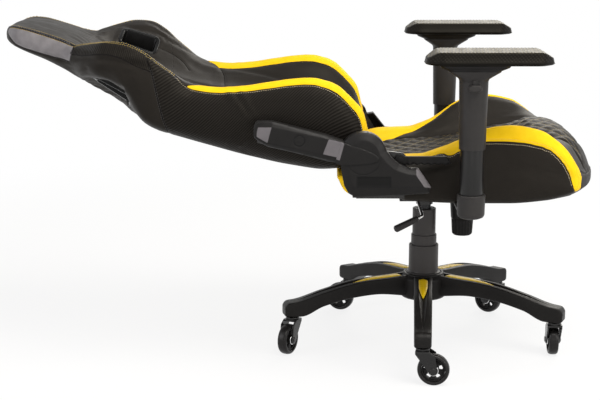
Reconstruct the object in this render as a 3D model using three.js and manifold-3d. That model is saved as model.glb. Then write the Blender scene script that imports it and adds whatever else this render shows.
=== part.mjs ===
// A racing-style gaming chair, laid back to its recline stop: a five-legged base on castors, a gas column,
// a tilt mechanism, a bucket seat, a hinged bucket back and two four-way armrests.
// Millimetres, +Z up, +X to the front of the seat, +Y to the sitter's left.
import * as THREE from 'three';
import { mergeVertices } from 'three/addons/utils/BufferGeometryUtils.js';
import Module from 'manifold-3d';

// ---------------------------------------------------------------- driving dimensions

const GAP = 0.3; // between pieces that touch
const LOOSE_GAP = 1.5; // between pieces that pass each other
const CLEAR = 5; // that a cutter runs past the face it cuts
const ACROSS = 400; // longer than half of the chair's width

// castors
const WHEEL_R = 32.5;
const TYRE_WIDTH = 21;
const TYRE_DEPTH = 8.5;
const CASTOR_TRAIL = 22;
const AXLE_R = 4;
const TINE_THICK = 3;
const STEM_R = 5.5;
const STEM_LENGTH = 26;
const CASTOR_TURNS = [-8.8, 87.8, 140.4, 158.4, -116.4]; // degrees, where each wheel trails

// base
const LEG_COUNT = 5;
const BASE_TURN = -94.2; // degrees, azimuth of the first leg
const STEM_CIRCLE_R = 291;
const LEG_OVERHANG = 19; // leg tip past the castor stem
const LEG_WIDTH_ROOT = 40;
const LEG_WIDTH_TIP = 35;
const HUB_R = 50;
const HUB_TOP = 157;
const HUB_BOTTOM = 104;
const HUB_CHAMFER = 8;
const GROOVE_DEPTH = 5;
const GROOVE_HALF_WIDTH = 10;
const INSERT_START = 50;
const INSERT_END = 158;

// gas column
const CYLINDER_R = 22.5;
const CYLINDER_WALL = 2;
const CYLINDER_TOP = 284;
const PISTON_R = 14;
const LIFT_TRAVEL = 100;
const COVER_WALL = 1.8;
const COVER_OVERLAP = 16; // left between two covers when the column is fully out
const LOWER_COVER_TOP = 220;
const MIDDLE_COVER_TOP = 242;
const UPPER_COVER_TOP = 299;
const COVER_FLANGE = 5;

// tilt mechanism
const HOUSING_FLOOR = 323;
const HOUSING_HEIGHT = 24.5;
const HOUSING_REAR = -56;
const HOUSING_FRONT = 110;
const HOUSING_HALF_WIDTH = 48;
const HOUSING_WALL = 3;
const SOCKET_R = 18;
const SOCKET_DROP = 14; // socket below the housing's floor
const SOCKET_FLANGE_R = 27;
const SOCKET_FLANGE_DROP = 3;
const TILT_PIN_R = 6;
const TILT_PIN_X = -40;
const TILT_PLATE_THICK = 8;
const TILT_PLATE_REAR = -95;
const TILT_PLATE_FRONT = 112;
const TILT_PLATE_HALF_WIDTH = 95;
const KNOB_X = 82;
const KNOB_R = 23.5;
const KNOB_HEIGHT = 37;
const SPRING_CUP_R = 24.5;
const SPRING_CUP_MOUTH_R = 27.5;
const SPRING_CUP_LENGTH = 45;
const TENSION_BOLT_R = 5;
const SPRING_R = 13.5;
const SPRING_WIRE_R = 1.9;
const LEVER_ROD_R = 3.2;
const LEVER_REACH = 172; // from the column to the lever's bend
const LEVER_BEND_X = -17;
const LEVER_BEND_DROP = 20;
const GRIP_LENGTH = 51;
const GRIP_R = 6.3;

// seat
const SEAT_FLOOR = 360;
const SEAT_HALF_WIDTH = 250;
const FRAME_BAR_WIDTH = 20;
const FRAME_BAR_HEIGHT = 10;
const FRAME_REAR = -150;
const FRAME_FRONT = 200;
const FRAME_RAIL_Y = 180;

// recliner
const PIVOT_X = -143;
const PIVOT_Z = 462;
const BACK_RISE = 15; // degrees of the lumbar part above level
const PLATE_THICK = 5;
const PLATE_R = 24; // round end of the recliner plates
const RECLINE_PIN_R = 8;
const COVER_DEPTH = 30; // side covers, across the chair
const COVER_ARC_R = { right: 46.5, left: 28 }; // round tops of the side covers about the pivot
const COVER_SHELL = 3;
const COVER_BEVEL = 5;
const RECLINE_LEVER_X = -70;
const RECLINE_LEVER_Z = 450;
const RECLINE_LEVER_REACH = 112;
const LEVER_PIVOT_R = 5;
const LEVER_EAR_R = 14;

// back
const BACK_INSET = 14; // the back's sides inside the seat's sides
const SHOULDER_HALF_WIDTH = 266;
const HEAD_HALF_WIDTH = 146;
const BACK_BAR_WIDTH = 20;
const BACK_BAR_HEIGHT = 10;
const BACK_POST_Y = 170;
const NECK_POST_Y = 92;
const SLOT_START = 470;
const SLOT_END = 550;
const SLOT_INNER = 138;
const SLOT_OUTER = 186;
const BEZEL_WALL = 4;
const BEZEL_LIP = 2; // stands proud of the cushion

// armrests
const ARM_X = 66;
const ARM_Y = 306;
const ARM_FOOT_THICK = 6;
const ARM_FOOT_WIDTH = 50;
const ARM_FOOT_INNER = 150;
const COLLAR_R = 27.5;
const COLLAR_DROP = 10; // collar below the foot's underside
const COLLAR_TOP = 391;
const POST_R = 23;
const POST_WALL = 2.5;
const POST_TOP = 530;
const SLEEVE_BOTTOM = 480;
const SLEEVE_TOP = 618;
const SLEEVE_R_BOTTOM = 25.5;
const SLEEVE_R_TOP = 28;
const ARM_HEAD_HEIGHT = 15;
const ARM_HEAD_LENGTH = 100;
const ARM_HEAD_WIDTH = 66;
const SLIDER_HEIGHT = 6;
const SLIDER_LENGTH = 124;
const SLIDER_WIDTH = 76;
const SWIVEL_HEIGHT = 5;
const PAD_LENGTH = 246;
const PAD_WIDTH = 100;
const PAD_HEIGHT = 26;
const PAD_FORWARD = 28.5; // pad centre ahead of the post

// ---------------------------------------------------------------- solid helpers

const wasm = await Module();
wasm.setup();
const { degToRad, lerp } = THREE.MathUtils;

// Smooth curve y(x) through a few points, which never passes above or below its neighbouring points.
function profile(points) {
  const last = points.length - 1;
  const steepness = (i) => (points[i + 1][1] - points[i][1]) / (points[i + 1][0] - points[i][0]);
  const slope = points.map((_, i) => {
    if (i === 0) return steepness(0);
    if (i === last) return steepness(last - 1);
    const [before, after] = [steepness(i - 1), steepness(i)];
    return before * after > 0 ? (2 * before * after) / (before + after) : 0;
  });
  return (x) => {
    if (x <= points[0][0]) return points[0][1];
    if (x >= points[last][0]) return points[last][1];
    const i = points.findIndex((point) => point[0] > x) - 1;
    const span = points[i + 1][0] - points[i][0];
    const t = (x - points[i][0]) / span;
    const rise = points[i + 1][1] - points[i][1];
    const a = slope[i] * span - rise;
    const b = rise - slope[i + 1] * span;
    return points[i][1] + t * rise + t * (1 - t) * ((1 - t) * a + t * b);
  };
}

// A closed three.js geometry as a solid whose faces point out.
function solid(geometry) {
  const bare = geometry.clone();
  bare.deleteAttribute('normal');
  bare.deleteAttribute('uv');
  const merged = mergeVertices(bare, 1e-4);
  const place = merged.attributes.position;
  const corners = [];
  const [a, b, c] = [new THREE.Vector3(), new THREE.Vector3(), new THREE.Vector3()];
  let volume = 0;
  for (let i = 0; i < merged.index.count; i += 3) {
    const tri = [0, 1, 2].map((k) => merged.index.getX(i + k));
    if (new Set(tri).size < 3) continue;
    a.fromBufferAttribute(place, tri[0]);
    b.fromBufferAttribute(place, tri[1]);
    c.fromBufferAttribute(place, tri[2]);
    volume += a.dot(b.cross(c));
    corners.push(tri);
  }
  const outward = volume > 0 ? corners : corners.map(([p, q, r]) => [p, r, q]);
  const triVerts = new Uint32Array(outward.flat());
  const vertProperties = new Float32Array(place.array);
  return new wasm.Manifold(new wasm.Mesh({ numProp: 3, vertProperties, triVerts }));
}

function toGeometry(shape) {
  const { vertProperties, triVerts } = shape.getMesh();
  const geometry = new THREE.BufferGeometry();
  geometry.setAttribute('position', new THREE.BufferAttribute(vertProperties, 3));
  geometry.setIndex(new THREE.BufferAttribute(triVerts, 1));
  geometry.computeVertexNormals();
  return geometry;
}

function join(...shapes) {
  return shapes.reduce((whole, shape) => whole.add(shape));
}

function moved(shape, x, y, z) {
  return solid(toGeometry(shape).translate(x, y, z));
}

function box([x0, x1], [y0, y1], [z0, z1]) {
  const geometry = new THREE.BoxGeometry(Math.abs(x1 - x0), Math.abs(y1 - y0), Math.abs(z1 - z0));
  return solid(geometry.translate((x0 + x1) / 2, (y0 + y1) / 2, (z0 + z1) / 2));
}

// Upright cylinder about (x, y).
function upright(radius, z0, z1, { x = 0, y = 0, sides = 20 } = {}) {
  const geometry = new THREE.CylinderGeometry(radius, radius, z1 - z0, sides);
  return solid(geometry.rotateX(Math.PI / 2).translate(x, y, (z0 + z1) / 2));
}

// Cylinder across the chair, about (x, z), from y0 to y1.
function crossPin(radius, [y0, y1], x, z, sides = 24) {
  const geometry = new THREE.CylinderGeometry(radius, radius, Math.abs(y1 - y0), sides);
  return solid(geometry.translate(x, (y0 + y1) / 2, z));
}

// Turned body: [radius, z] points, closed on the axis or on itself.
function turned(points, sides = 20) {
  const geometry = new THREE.LatheGeometry(points.map(([r, z]) => new THREE.Vector2(r, z)), sides);
  return solid(geometry.rotateX(Math.PI / 2));
}

function tube(outer, inner, z0, z1, sides = 20) {
  return turned([[inner, z0], [outer, z0], [outer, z1], [inner, z1], [inner, z0]], sides);
}

// Flat plate cut to an outline in X and Z, from y0 to y1.
function sidePlate(outline, [y0, y1]) {
  const plate = new THREE.ExtrudeGeometry(new THREE.Shape(outline),
    { depth: Math.abs(y1 - y0), bevelEnabled: false });
  return solid(turnToSide(plate, y0, y1));
}

// The same plate with its outline drawn in by a margin.
function insetPlate(outline, [y0, y1], margin) {
  const plate = new THREE.ExtrudeGeometry(new THREE.Shape(outline), {
    depth: Math.abs(y1 - y0), bevelThickness: 0, bevelSize: 0, bevelOffset: -margin, bevelSegments: 1,
  });
  return solid(turnToSide(plate, y0, y1));
}

// The same plate with a bevel round its far face.
function bevelledPlate(outline, [y0, y1], bevel) {
  const plate = new THREE.ExtrudeGeometry(new THREE.Shape(outline), {
    depth: Math.abs(y1 - y0) - bevel, bevelThickness: bevel, bevelSize: bevel, bevelOffset: -bevel,
      bevelSegments: 1,
  });
  return sidePlate(outline, [y0, y1]).intersect(solid(turnToSide(plate, y0, y1)));
}

// Stands an extrusion up so that its depth runs from y0 towards y1.
function turnToSide(geometry, y0, y1) {
  geometry.rotateX(Math.PI / 2);
  geometry.scale(1, y1 > y0 ? -1 : 1, 1);
  return geometry.translate(0, y0, 0);
}

// Solid through rings of [x, y, z] points, each ring in a plane of its own x.
function loft(rings) {
  const count = rings[0].length;
  const positions = rings.flat(2);
  const index = [];
  for (let i = 0; i + 1 < rings.length; i += 1) {
    for (let k = 0; k < count; k += 1) {
      const next = (k + 1) % count;
      const [p, q, r, s] = [i * count + k, i * count + next, (i + 1) * count + next, (i + 1) * count + k];
      index.push(p, q, r, p, r, s);
    }
  }
  const lastRing = (rings.length - 1) * count;
  const cap = (ring) => {
    const contour = ring.map(([, y, z]) => new THREE.Vector2(y, z));
    return THREE.ShapeUtils.triangulateShape(contour, []);
  };
  cap(rings[0]).forEach(([p, q, r]) => index.push(p, r, q));
  cap(rings.at(-1)).forEach(([p, q, r]) => index.push(lastRing + p, lastRing + q, lastRing + r));
  const geometry = new THREE.BufferGeometry();
  geometry.setAttribute('position', new THREE.Float32BufferAttribute(positions, 3));
  geometry.setIndex(index);
  return solid(geometry);
}

// Full ring from its half on the +Y side, listed from the bottom middle to the top middle.
function mirrored(half) {
  const otherHalf = half.slice(1, -1).reverse().map(([x, y, z]) => [x, -y, z]);
  return [...half, ...otherHalf];
}

function arc(cx, cy, radius, from, to, steps) {
  return Array.from({ length: steps + 1 }, (_, i) => {
    const angle = degToRad(lerp(from, to, i / steps));
    return new THREE.Vector2(cx + radius * Math.cos(angle), cy + radius * Math.sin(angle));
  });
}

function stations(from, to, steps) {
  return Array.from({ length: steps + 1 }, (_, i) => lerp(from, to, i / steps));
}

const chair = new THREE.Group();

function addPiece(parent, name, shape, { color, roughness = 0.6, metalness = 0 }) {
  const mesh = new THREE.Mesh(toGeometry(shape),
    new THREE.MeshStandardMaterial({ color, roughness, metalness }));
  mesh.name = name;
  parent.add(mesh);
}

const MATERIAL = {
  nylon: { color: 0x242323, roughness: 0.55 },
  yellow: { color: 0xf6cf12, roughness: 0.5 },
  tyre: { color: 0x161616, roughness: 0.45 },
  darkSteel: { color: 0x1b1b1b, roughness: 0.4, metalness: 0.6 },
  brightSteel: { color: 0x9a9a9a, roughness: 0.25, metalness: 1 },
  coverPlastic: { color: 0x2c2b2d, roughness: 0.6 },
  leather: { color: 0x1c1a19, roughness: 0.5 },
  padFoam: { color: 0x252423, roughness: 0.85 },
};

// ---------------------------------------------------------------- castors

const FORK_SLACK = 2.2; // wheel side to tine
const BRIDGE_THICK = 4;
const WHEEL_HEAD_ROOM = 3;
const SWIVEL_CUP_HEIGHT = 6;
const SWIVEL_CUP_R = 14;
const HUB_HOLES = 5;
const HUB_WEB = 12;
const HUB_BOSS_R = 9.5;
const HUB_HOLE_R = 4.2;

const rimR = WHEEL_R - TYRE_DEPTH;
const bridgeBottom = 2 * WHEEL_R + WHEEL_HEAD_ROOM;
const cupBottom = bridgeBottom + BRIDGE_THICK;
const legTipBottom = cupBottom + SWIVEL_CUP_HEIGHT + GAP;
const tineInner = TYRE_WIDTH / 2 + FORK_SLACK;

// A body turned about the wheel's axle.
function wheelTurned(points, sides) {
  const geometry = new THREE.LatheGeometry(points.map(([r, y]) => new THREE.Vector2(r, y)), sides);
  return solid(geometry.translate(CASTOR_TRAIL, 0, WHEEL_R));
}

function castorTyre() {
  const half = TYRE_WIDTH / 2;
  const section = [
    [rimR, -half + 1], [WHEEL_R - 4, -half], [WHEEL_R, -half * 0.35],
    [WHEEL_R, half * 0.35], [WHEEL_R - 4, half], [rimR, half - 1], [rimR, -half + 1],
  ];
  return wheelTurned(section, 22);
}

function castorHub() {
  const radius = rimR - GAP;
  const disc = new THREE.Shape(arc(0, 0, radius, 0, 342, 19));
  disc.holes.push(new THREE.Path(arc(0, 0, AXLE_R + GAP, 0, 330, 11)));
  for (let i = 0; i < HUB_HOLES; i += 1) {
    const angle = degToRad((i * 360) / HUB_HOLES + 90);
    const away = (HUB_BOSS_R + radius) / 2;
    disc.holes.push(new THREE.Path(arc(away * Math.cos(angle), away * Math.sin(angle), HUB_HOLE_R, 0, 300,
      5)));
  }
  const web = new THREE.ExtrudeGeometry(disc, { depth: HUB_WEB, bevelEnabled: false });
  web.rotateX(Math.PI / 2).translate(CASTOR_TRAIL, HUB_WEB / 2, WHEEL_R);
  const bossHalf = tineInner - GAP;
  const boss = wheelTurned([
    [AXLE_R + GAP, -bossHalf], [HUB_BOSS_R, -bossHalf], [HUB_BOSS_R, bossHalf], [AXLE_R + GAP, bossHalf],
    [AXLE_R + GAP, -bossHalf],
  ], 12);
  return solid(web).add(boss);
}

// One side of the fork: a round ear at the axle that widens up to the bridge.
function forkTine(side) {
  const ear = arc(CASTOR_TRAIL, WHEEL_R, AXLE_R + 5, -150, 20, 4);
  const outline = [
    ...ear,
    new THREE.Vector2(CASTOR_TRAIL + 4, bridgeBottom - 4), new THREE.Vector2(SWIVEL_CUP_R, cupBottom),
    new THREE.Vector2(-SWIVEL_CUP_R, cupBottom), new THREE.Vector2(-SWIVEL_CUP_R, bridgeBottom),
  ];
  return sidePlate(outline, [side * tineInner, side * (tineInner + TINE_THICK)]);
}

function castorFork() {
  const outer = tineInner + TINE_THICK;
  const bridge = box([-SWIVEL_CUP_R, SWIVEL_CUP_R], [-outer, outer], [bridgeBottom, cupBottom]);
  const cup = upright(SWIVEL_CUP_R, cupBottom, cupBottom + SWIVEL_CUP_HEIGHT, { sides: 12 });
  const stem = upright(STEM_R, cupBottom, legTipBottom + STEM_LENGTH, { sides: 10 });
  const axle = crossPin(AXLE_R, [-outer - 1.5, outer + 1.5], CASTOR_TRAIL, WHEEL_R, 12);
  return join(forkTine(1), forkTine(-1), bridge, cup, stem, axle);
}

function addCastor(parent, number, turn) {
  const castor = new THREE.Group();
  castor.position.x = STEM_CIRCLE_R;
  castor.rotation.z = turn;
  parent.add(castor);
  addPiece(castor, `castor_fork_${number}`, castorFork(), MATERIAL.darkSteel);
  addPiece(castor, `castor_hub_${number}`, castorHub(), MATERIAL.darkSteel);
  addPiece(castor, `castor_tyre_${number}`, castorTyre(), MATERIAL.tyre);
}

// ---------------------------------------------------------------- base

const LEG_ROOT = 30; // inside the hub
const LEG_STEPS = 7;
const LEG_BEVEL = 4;
const STEM_ROOF = 5; // left over the castor stem's bore

const legTip = STEM_CIRCLE_R + LEG_OVERHANG;
const legTipHeight = STEM_LENGTH + STEM_ROOF;
const legSpan = legTip - LEG_ROOT;

// Heights as shares of the way out along the leg.
const legTopShape = profile([[0, 1], [0.15, 0.9], [0.3, 0.84], [0.45, 0.74], [0.7, 0.39], [0.91, 0.04],
  [0.97, 0], [1, -0.1]]);
const legBottomShape = profile([[0, 0.75], [0.12, 0.9], [0.27, 1], [0.45, 0.9], [0.7, 0.5], [0.87, 0],
  [1, 0]]);

function legHeights(along) {
  const share = (along - LEG_ROOT) / legSpan;
  const legTipTop = legTipBottom + legTipHeight;
  const top = legTipTop + (HUB_TOP - legTipTop) * legTopShape(share);
  const bottom = legTipBottom + (HUB_BOTTOM + 13 - legTipBottom) * legBottomShape(share);
  return { top, bottom };
}

function grooveHalfWidth(along) {
  return GROOVE_HALF_WIDTH * profile([[0, 1], [0.4, 0.95], [0.75, 0.4],
    [0.9, 0.1]])((along - LEG_ROOT) / legSpan);
}

function grooveDepth(along) {
  return (GROOVE_DEPTH * grooveHalfWidth(along)) / GROOVE_HALF_WIDTH;
}

function legRing(along) {
  const { top, bottom } = legHeights(along);
  const half = lerp(LEG_WIDTH_ROOT, LEG_WIDTH_TIP, (along - LEG_ROOT) / legSpan) / 2;
  return mirrored([
    [along, 0, bottom], [along, half - LEG_BEVEL, bottom], [along, half, bottom + LEG_BEVEL],
    [along, half, top - LEG_BEVEL], [along, half - LEG_BEVEL, top], [along, grooveHalfWidth(along), top],
    [along, 0, top - grooveDepth(along)],
  ]);
}

const legStations = stations(LEG_ROOT, legTip, LEG_STEPS);

function starBase() {
  const outline = loft(legStations.map(legRing));
  const bore = upright(STEM_R + GAP, legTipBottom - 1, legTipBottom + STEM_LENGTH + GAP,
    { x: STEM_CIRCLE_R, sides: 10 });
  const leg = toGeometry(outline.subtract(bore));
  const hub = turned([[0, HUB_BOTTOM], [HUB_R - 4, HUB_BOTTOM], [HUB_R, HUB_BOTTOM + 4],
    [HUB_R, HUB_TOP - HUB_CHAMFER],
    [HUB_R - HUB_CHAMFER, HUB_TOP], [0, HUB_TOP]], 24);
  const legs = Array.from({ length: LEG_COUNT }, (_, i) => {
    return solid(leg.clone().rotateZ((i * 2 * Math.PI) / LEG_COUNT));
  });
  const collarSeat = upright(coverOuter.lower + COVER_FLANGE + GAP, HUB_TOP, HUB_TOP + 40, { sides: 32 });
  const cylinderBore = upright(CYLINDER_R + GAP, HUB_BOTTOM - 20, HUB_TOP + 20, { sides: 32 });
  return join(hub, ...legs).subtract(collarSeat).subtract(cylinderBore);
}

// Wedge laid in the leg's groove, pointed at both ends.
function legInsert() {
  const blade = profile([[0, 0.12], [0.18, 1], [0.4, 0.95], [1, 0.1]]);
  const rings = stations(INSERT_START, INSERT_END, 6).map((along) => {
    const wide = blade((along - INSERT_START) / (INSERT_END - INSERT_START));
    const floor = legHeights(along).top - grooveDepth(along) + 2 * GAP;
    const edge = floor + grooveDepth(along) * wide;
    return [
      [along, 0, floor], [along, wide * (grooveHalfWidth(along) - GAP), edge], [along, 0, edge + 1],
      [along, -wide * (grooveHalfWidth(along) - GAP), edge],
    ];
  });
  return loft(rings);
}

// ---------------------------------------------------------------- gas column

const coverInner = {};
const coverOuter = {};
coverInner.upper = CYLINDER_R + 2 * GAP;
coverOuter.upper = coverInner.upper + COVER_WALL;
coverInner.middle = coverOuter.upper + 2 * GAP;
coverOuter.middle = coverInner.middle + COVER_WALL;
coverInner.lower = coverOuter.middle + 2 * GAP;
coverOuter.lower = coverInner.lower + COVER_WALL + 1;

const COVER_FLOOR = 3;
const coverFloorTop = HUB_TOP + GAP + COVER_FLOOR;
const middleBottom = coverFloorTop + GAP;
const upperBottom = MIDDLE_COVER_TOP - LIFT_TRAVEL / 2 - COVER_OVERLAP;
const pistonTop = HOUSING_FLOOR + HOUSING_HEIGHT / 2;
const pistonBottom = HUB_BOTTOM + 8;
const PISTON_HEAD = 16;

function gasCylinder() {
  const bottom = HUB_BOTTOM - 5;
  const inner = CYLINDER_R - CYLINDER_WALL;
  const rod = PISTON_R + GAP;
  const lid = CYLINDER_TOP - 4;
  return turned([[0, bottom], [CYLINDER_R, bottom], [CYLINDER_R, CYLINDER_TOP], [rod, CYLINDER_TOP],
    [rod, lid],
    [inner, lid], [inner, bottom + 4], [0, bottom + 4]]);
}

function gasPiston() {
  const head = CYLINDER_R - CYLINDER_WALL - GAP;
  return turned([[0, pistonBottom], [head, pistonBottom], [head, pistonBottom + PISTON_HEAD],
    [PISTON_R, pistonBottom + PISTON_HEAD], [PISTON_R, pistonTop], [0, pistonTop]]);
}

function lowerCover() {
  const { lower } = coverOuter;
  const floor = HUB_TOP + GAP;
  return turned([[CYLINDER_R + GAP, floor], [lower + COVER_FLANGE, floor],
    [lower + COVER_FLANGE, floor + 2.5],
    [lower, floor + 4], [lower, LOWER_COVER_TOP], [coverInner.lower, LOWER_COVER_TOP],
    [coverInner.lower, coverFloorTop], [CYLINDER_R + GAP, coverFloorTop], [CYLINDER_R + GAP, floor]]);
}

function upperCover() {
  const lid = UPPER_COVER_TOP - COVER_FLOOR;
  return turned([[coverInner.upper, upperBottom], [coverOuter.upper, upperBottom],
    [coverOuter.upper, UPPER_COVER_TOP],
    [PISTON_R + GAP, UPPER_COVER_TOP], [PISTON_R + GAP, lid], [coverInner.upper, lid],
      [coverInner.upper, upperBottom]]);
}

// ---------------------------------------------------------------- tilt mechanism

const housingTop = HOUSING_FLOOR + HOUSING_HEIGHT;
const plateTop = SEAT_FLOOR - GAP;
const plateBottom = plateTop - TILT_PLATE_THICK;
const tiltPinZ = HOUSING_FLOOR + HOUSING_HEIGHT * 0.62;
const SPRING_CUP_WALL = 2;
const EAR_THICK = 5;
const EAR_R = 13;
const earInner = HOUSING_HALF_WIDTH + GAP;
const cupTop = HOUSING_FLOOR - GAP;
const springCupBottom = cupTop - SPRING_CUP_LENGTH;
const leverX = TILT_PIN_X + EAR_R + LEVER_ROD_R + LOOSE_GAP;
const knobTop = springCupBottom - GAP;

function mechanismHousing() {
  const outer = box([HOUSING_REAR, HOUSING_FRONT], [-HOUSING_HALF_WIDTH, HOUSING_HALF_WIDTH],
    [HOUSING_FLOOR, housingTop]);
  const inner = HOUSING_HALF_WIDTH - HOUSING_WALL;
  const hollow = box([HOUSING_REAR + HOUSING_WALL, HOUSING_FRONT - HOUSING_WALL], [-inner, inner],
    [HOUSING_FLOOR + HOUSING_WALL, housingTop + CLEAR]);
  const socket = upright(SOCKET_R, HOUSING_FLOOR - SOCKET_DROP, pistonTop + HOUSING_WALL + GAP)
    .add(upright(SOCKET_FLANGE_R, HOUSING_FLOOR - SOCKET_FLANGE_DROP, HOUSING_FLOOR + HOUSING_WALL));
  const socketBore = upright(PISTON_R + GAP, HOUSING_FLOOR - SOCKET_DROP - CLEAR, pistonTop + GAP);
  const pinBore = crossPin(TILT_PIN_R + GAP, [-HOUSING_HALF_WIDTH - CLEAR, HOUSING_HALF_WIDTH + CLEAR],
    TILT_PIN_X, tiltPinZ, 16);
  const boltBore = upright(TENSION_BOLT_R + GAP, HOUSING_FLOOR - CLEAR, HOUSING_FLOOR + 2 * CLEAR,
    { x: KNOB_X, sides: 12 });
  const leverBore = crossPin(LEVER_ROD_R + LOOSE_GAP, [-HOUSING_HALF_WIDTH - CLEAR, CLEAR - inner], leverX,
    tiltPinZ, 10);
  return outer.subtract(hollow).subtract(pinBore).add(socket).subtract(socketBore).subtract(boltBore).subtract(leverBore);
}

function tiltPlate() {
  const plate = box([TILT_PLATE_REAR, TILT_PLATE_FRONT], [-TILT_PLATE_HALF_WIDTH, TILT_PLATE_HALF_WIDTH],
    [plateBottom, plateTop]);
  const ear = (side) => {
    const outline = [
      new THREE.Vector2(TILT_PIN_X + EAR_R, plateBottom + 1), new THREE.Vector2(TILT_PIN_X - EAR_R,
        plateBottom + 1),
      ...arc(TILT_PIN_X, tiltPinZ, EAR_R, 180, 360, 8),
    ];
    return sidePlate(outline, [side * earInner, side * (earInner + EAR_THICK)]);
  };
  const reach = earInner + EAR_THICK + CLEAR;
  const bore = crossPin(TILT_PIN_R + GAP, [-reach, reach], TILT_PIN_X, tiltPinZ, 16);
  return join(plate, ear(1), ear(-1)).subtract(bore);
}

function tiltPin() {
  const reach = earInner + EAR_THICK + GAP;
  const head = (side) => crossPin(TILT_PIN_R + 3, [side * reach, side * (reach + 3)], TILT_PIN_X, tiltPinZ,
    16);
  return join(crossPin(TILT_PIN_R, [-reach - 1, reach + 1], TILT_PIN_X, tiltPinZ, 16), head(1), head(-1));
}

function springCup() {
  const wall = SPRING_CUP_WALL;
  const floor = springCupBottom + wall;
  const bore = TENSION_BOLT_R + GAP;
  const cup = turned([[bore, springCupBottom], [SPRING_CUP_R, springCupBottom], [SPRING_CUP_MOUTH_R, cupTop],
    [SPRING_CUP_MOUTH_R - wall, cupTop], [SPRING_CUP_R - wall, floor], [bore, floor],
      [bore, springCupBottom]], 16);
  return moved(cup, KNOB_X, 0, 0);
}

function tensionSpring() {
  const turns = 3;
  const steps = 9;
  const bottom = springCupBottom + SPRING_CUP_WALL + GAP + SPRING_WIRE_R;
  const top = cupTop - GAP - SPRING_WIRE_R;
  const points = stations(0, 1, turns * steps).map((share) => {
    const angle = share * turns * 2 * Math.PI;
    return new THREE.Vector3(SPRING_R * Math.cos(angle), SPRING_R * Math.sin(angle),
      lerp(bottom, top, share));
  });
  const wire = new THREE.Shape(arc(0, 0, SPRING_WIRE_R, 0, 288, 4));
  const path = new THREE.CatmullRomCurve3(points);
  const coil = new THREE.ExtrudeGeometry(wire, { steps: turns * steps, extrudePath: path,
    bevelEnabled: false });
  return solid(coil.translate(KNOB_X, 0, 0));
}

function tensionBolt() {
  const bottom = knobTop - KNOB_HEIGHT * 0.6;
  const top = HOUSING_FLOOR + HOUSING_WALL + GAP;
  const bolt = turned([[0, bottom], [TENSION_BOLT_R, bottom], [TENSION_BOLT_R, top],
    [TENSION_BOLT_R * 2, top],
    [TENSION_BOLT_R * 2, top + 7], [0, top + 7]], 12);
  return moved(bolt, KNOB_X, 0, 0);
}

// Knob with grip ribs round it and a blind bore for the bolt.
function tensionKnob() {
  const ribs = 14;
  const outline = Array.from({ length: ribs * 4 }, (_, i) => {
    const radius = i % 4 < 2 ? KNOB_R : KNOB_R - 1.6;
    const angle = ((i + (i % 2 ? 0.25 : -0.25)) / (ribs * 4)) * 2 * Math.PI;
    return new THREE.Vector2(radius * Math.cos(angle), radius * Math.sin(angle));
  });
  const body = new THREE.ExtrudeGeometry(new THREE.Shape(outline), {
    depth: KNOB_HEIGHT - 3, bevelEnabled: false,
  });
  const foot = turned([[0, knobTop - KNOB_HEIGHT], [KNOB_R - 5, knobTop - KNOB_HEIGHT],
    [KNOB_R - 1.6, knobTop - KNOB_HEIGHT + 3.5],
    [0, knobTop - KNOB_HEIGHT + 3.5]], 16);
  const bore = upright(TENSION_BOLT_R + GAP, knobTop - KNOB_HEIGHT * 0.6 - GAP, knobTop + CLEAR,
    { sides: 12 });
  const whole = solid(body.translate(0, 0, knobTop - KNOB_HEIGHT + 3)).add(foot).subtract(bore);
  return moved(whole, KNOB_X, 0, 0);
}

// ---------------------------------------------------------------- height lever

const GRIP_SLOPE = 24; // degrees below level
const GRIP_BITE = 20; // rod inside the grip

function roundBar(points, radius, sides = 8) {
  return join(...points.slice(1).map((point, i) => rodBetween(points[i], point, radius, sides)),
    ...points.slice(1, -1).map((point) => {
      return solid(new THREE.SphereGeometry(radius, sides, 4).translate(point.x, point.y, point.z));
    }));
}

function rodBetween(from, to, radius, sides) {
  const direction = to.clone().sub(from);
  const geometry = new THREE.CylinderGeometry(radius, radius, direction.length(), sides);
  const turn = new THREE.Quaternion().setFromUnitVectors(new THREE.Vector3(0, 1, 0), direction.normalize());
  const middle = from.clone().add(to).multiplyScalar(0.5);
  return solid(geometry.applyQuaternion(turn).translate(middle.x, middle.y, middle.z));
}

const leverFulcrum = new THREE.Vector3(leverX, -HOUSING_HALF_WIDTH, tiltPinZ);
const leverBend = new THREE.Vector3(LEVER_BEND_X, -LEVER_REACH, tiltPinZ - LEVER_BEND_DROP);
const leverWay = leverBend.clone().sub(leverFulcrum).normalize();
const gripWay = new THREE.Vector3(-Math.cos(degToRad(GRIP_SLOPE)), -0.2,
  -Math.sin(degToRad(GRIP_SLOPE))).normalize();
const gripStart = leverBend.clone().addScaledVector(gripWay, 10);
const gripEnd = gripStart.clone().addScaledVector(gripWay, GRIP_LENGTH);

function leverRod() {
  const inner = leverFulcrum.clone().addScaledVector(leverWay,
    SOCKET_R + 2 * LEVER_ROD_R - HOUSING_HALF_WIDTH);
  const tip = gripStart.clone().addScaledVector(gripWay, GRIP_BITE);
  return roundBar([inner, leverBend, tip], LEVER_ROD_R);
}

function leverGrip() {
  const bite = gripStart.clone().addScaledVector(gripWay, GRIP_BITE + GAP);
  const before = gripStart.clone().addScaledVector(gripWay, -CLEAR);
  const body = rodBetween(gripStart, gripEnd, GRIP_R, 10);
  const end = solid(new THREE.SphereGeometry(GRIP_R, 10, 6).translate(gripEnd.x, gripEnd.y, gripEnd.z));
  return body.add(end).subtract(rodBetween(before, bite, LEVER_ROD_R + GAP, 8));
}

// ---------------------------------------------------------------- seat

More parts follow.
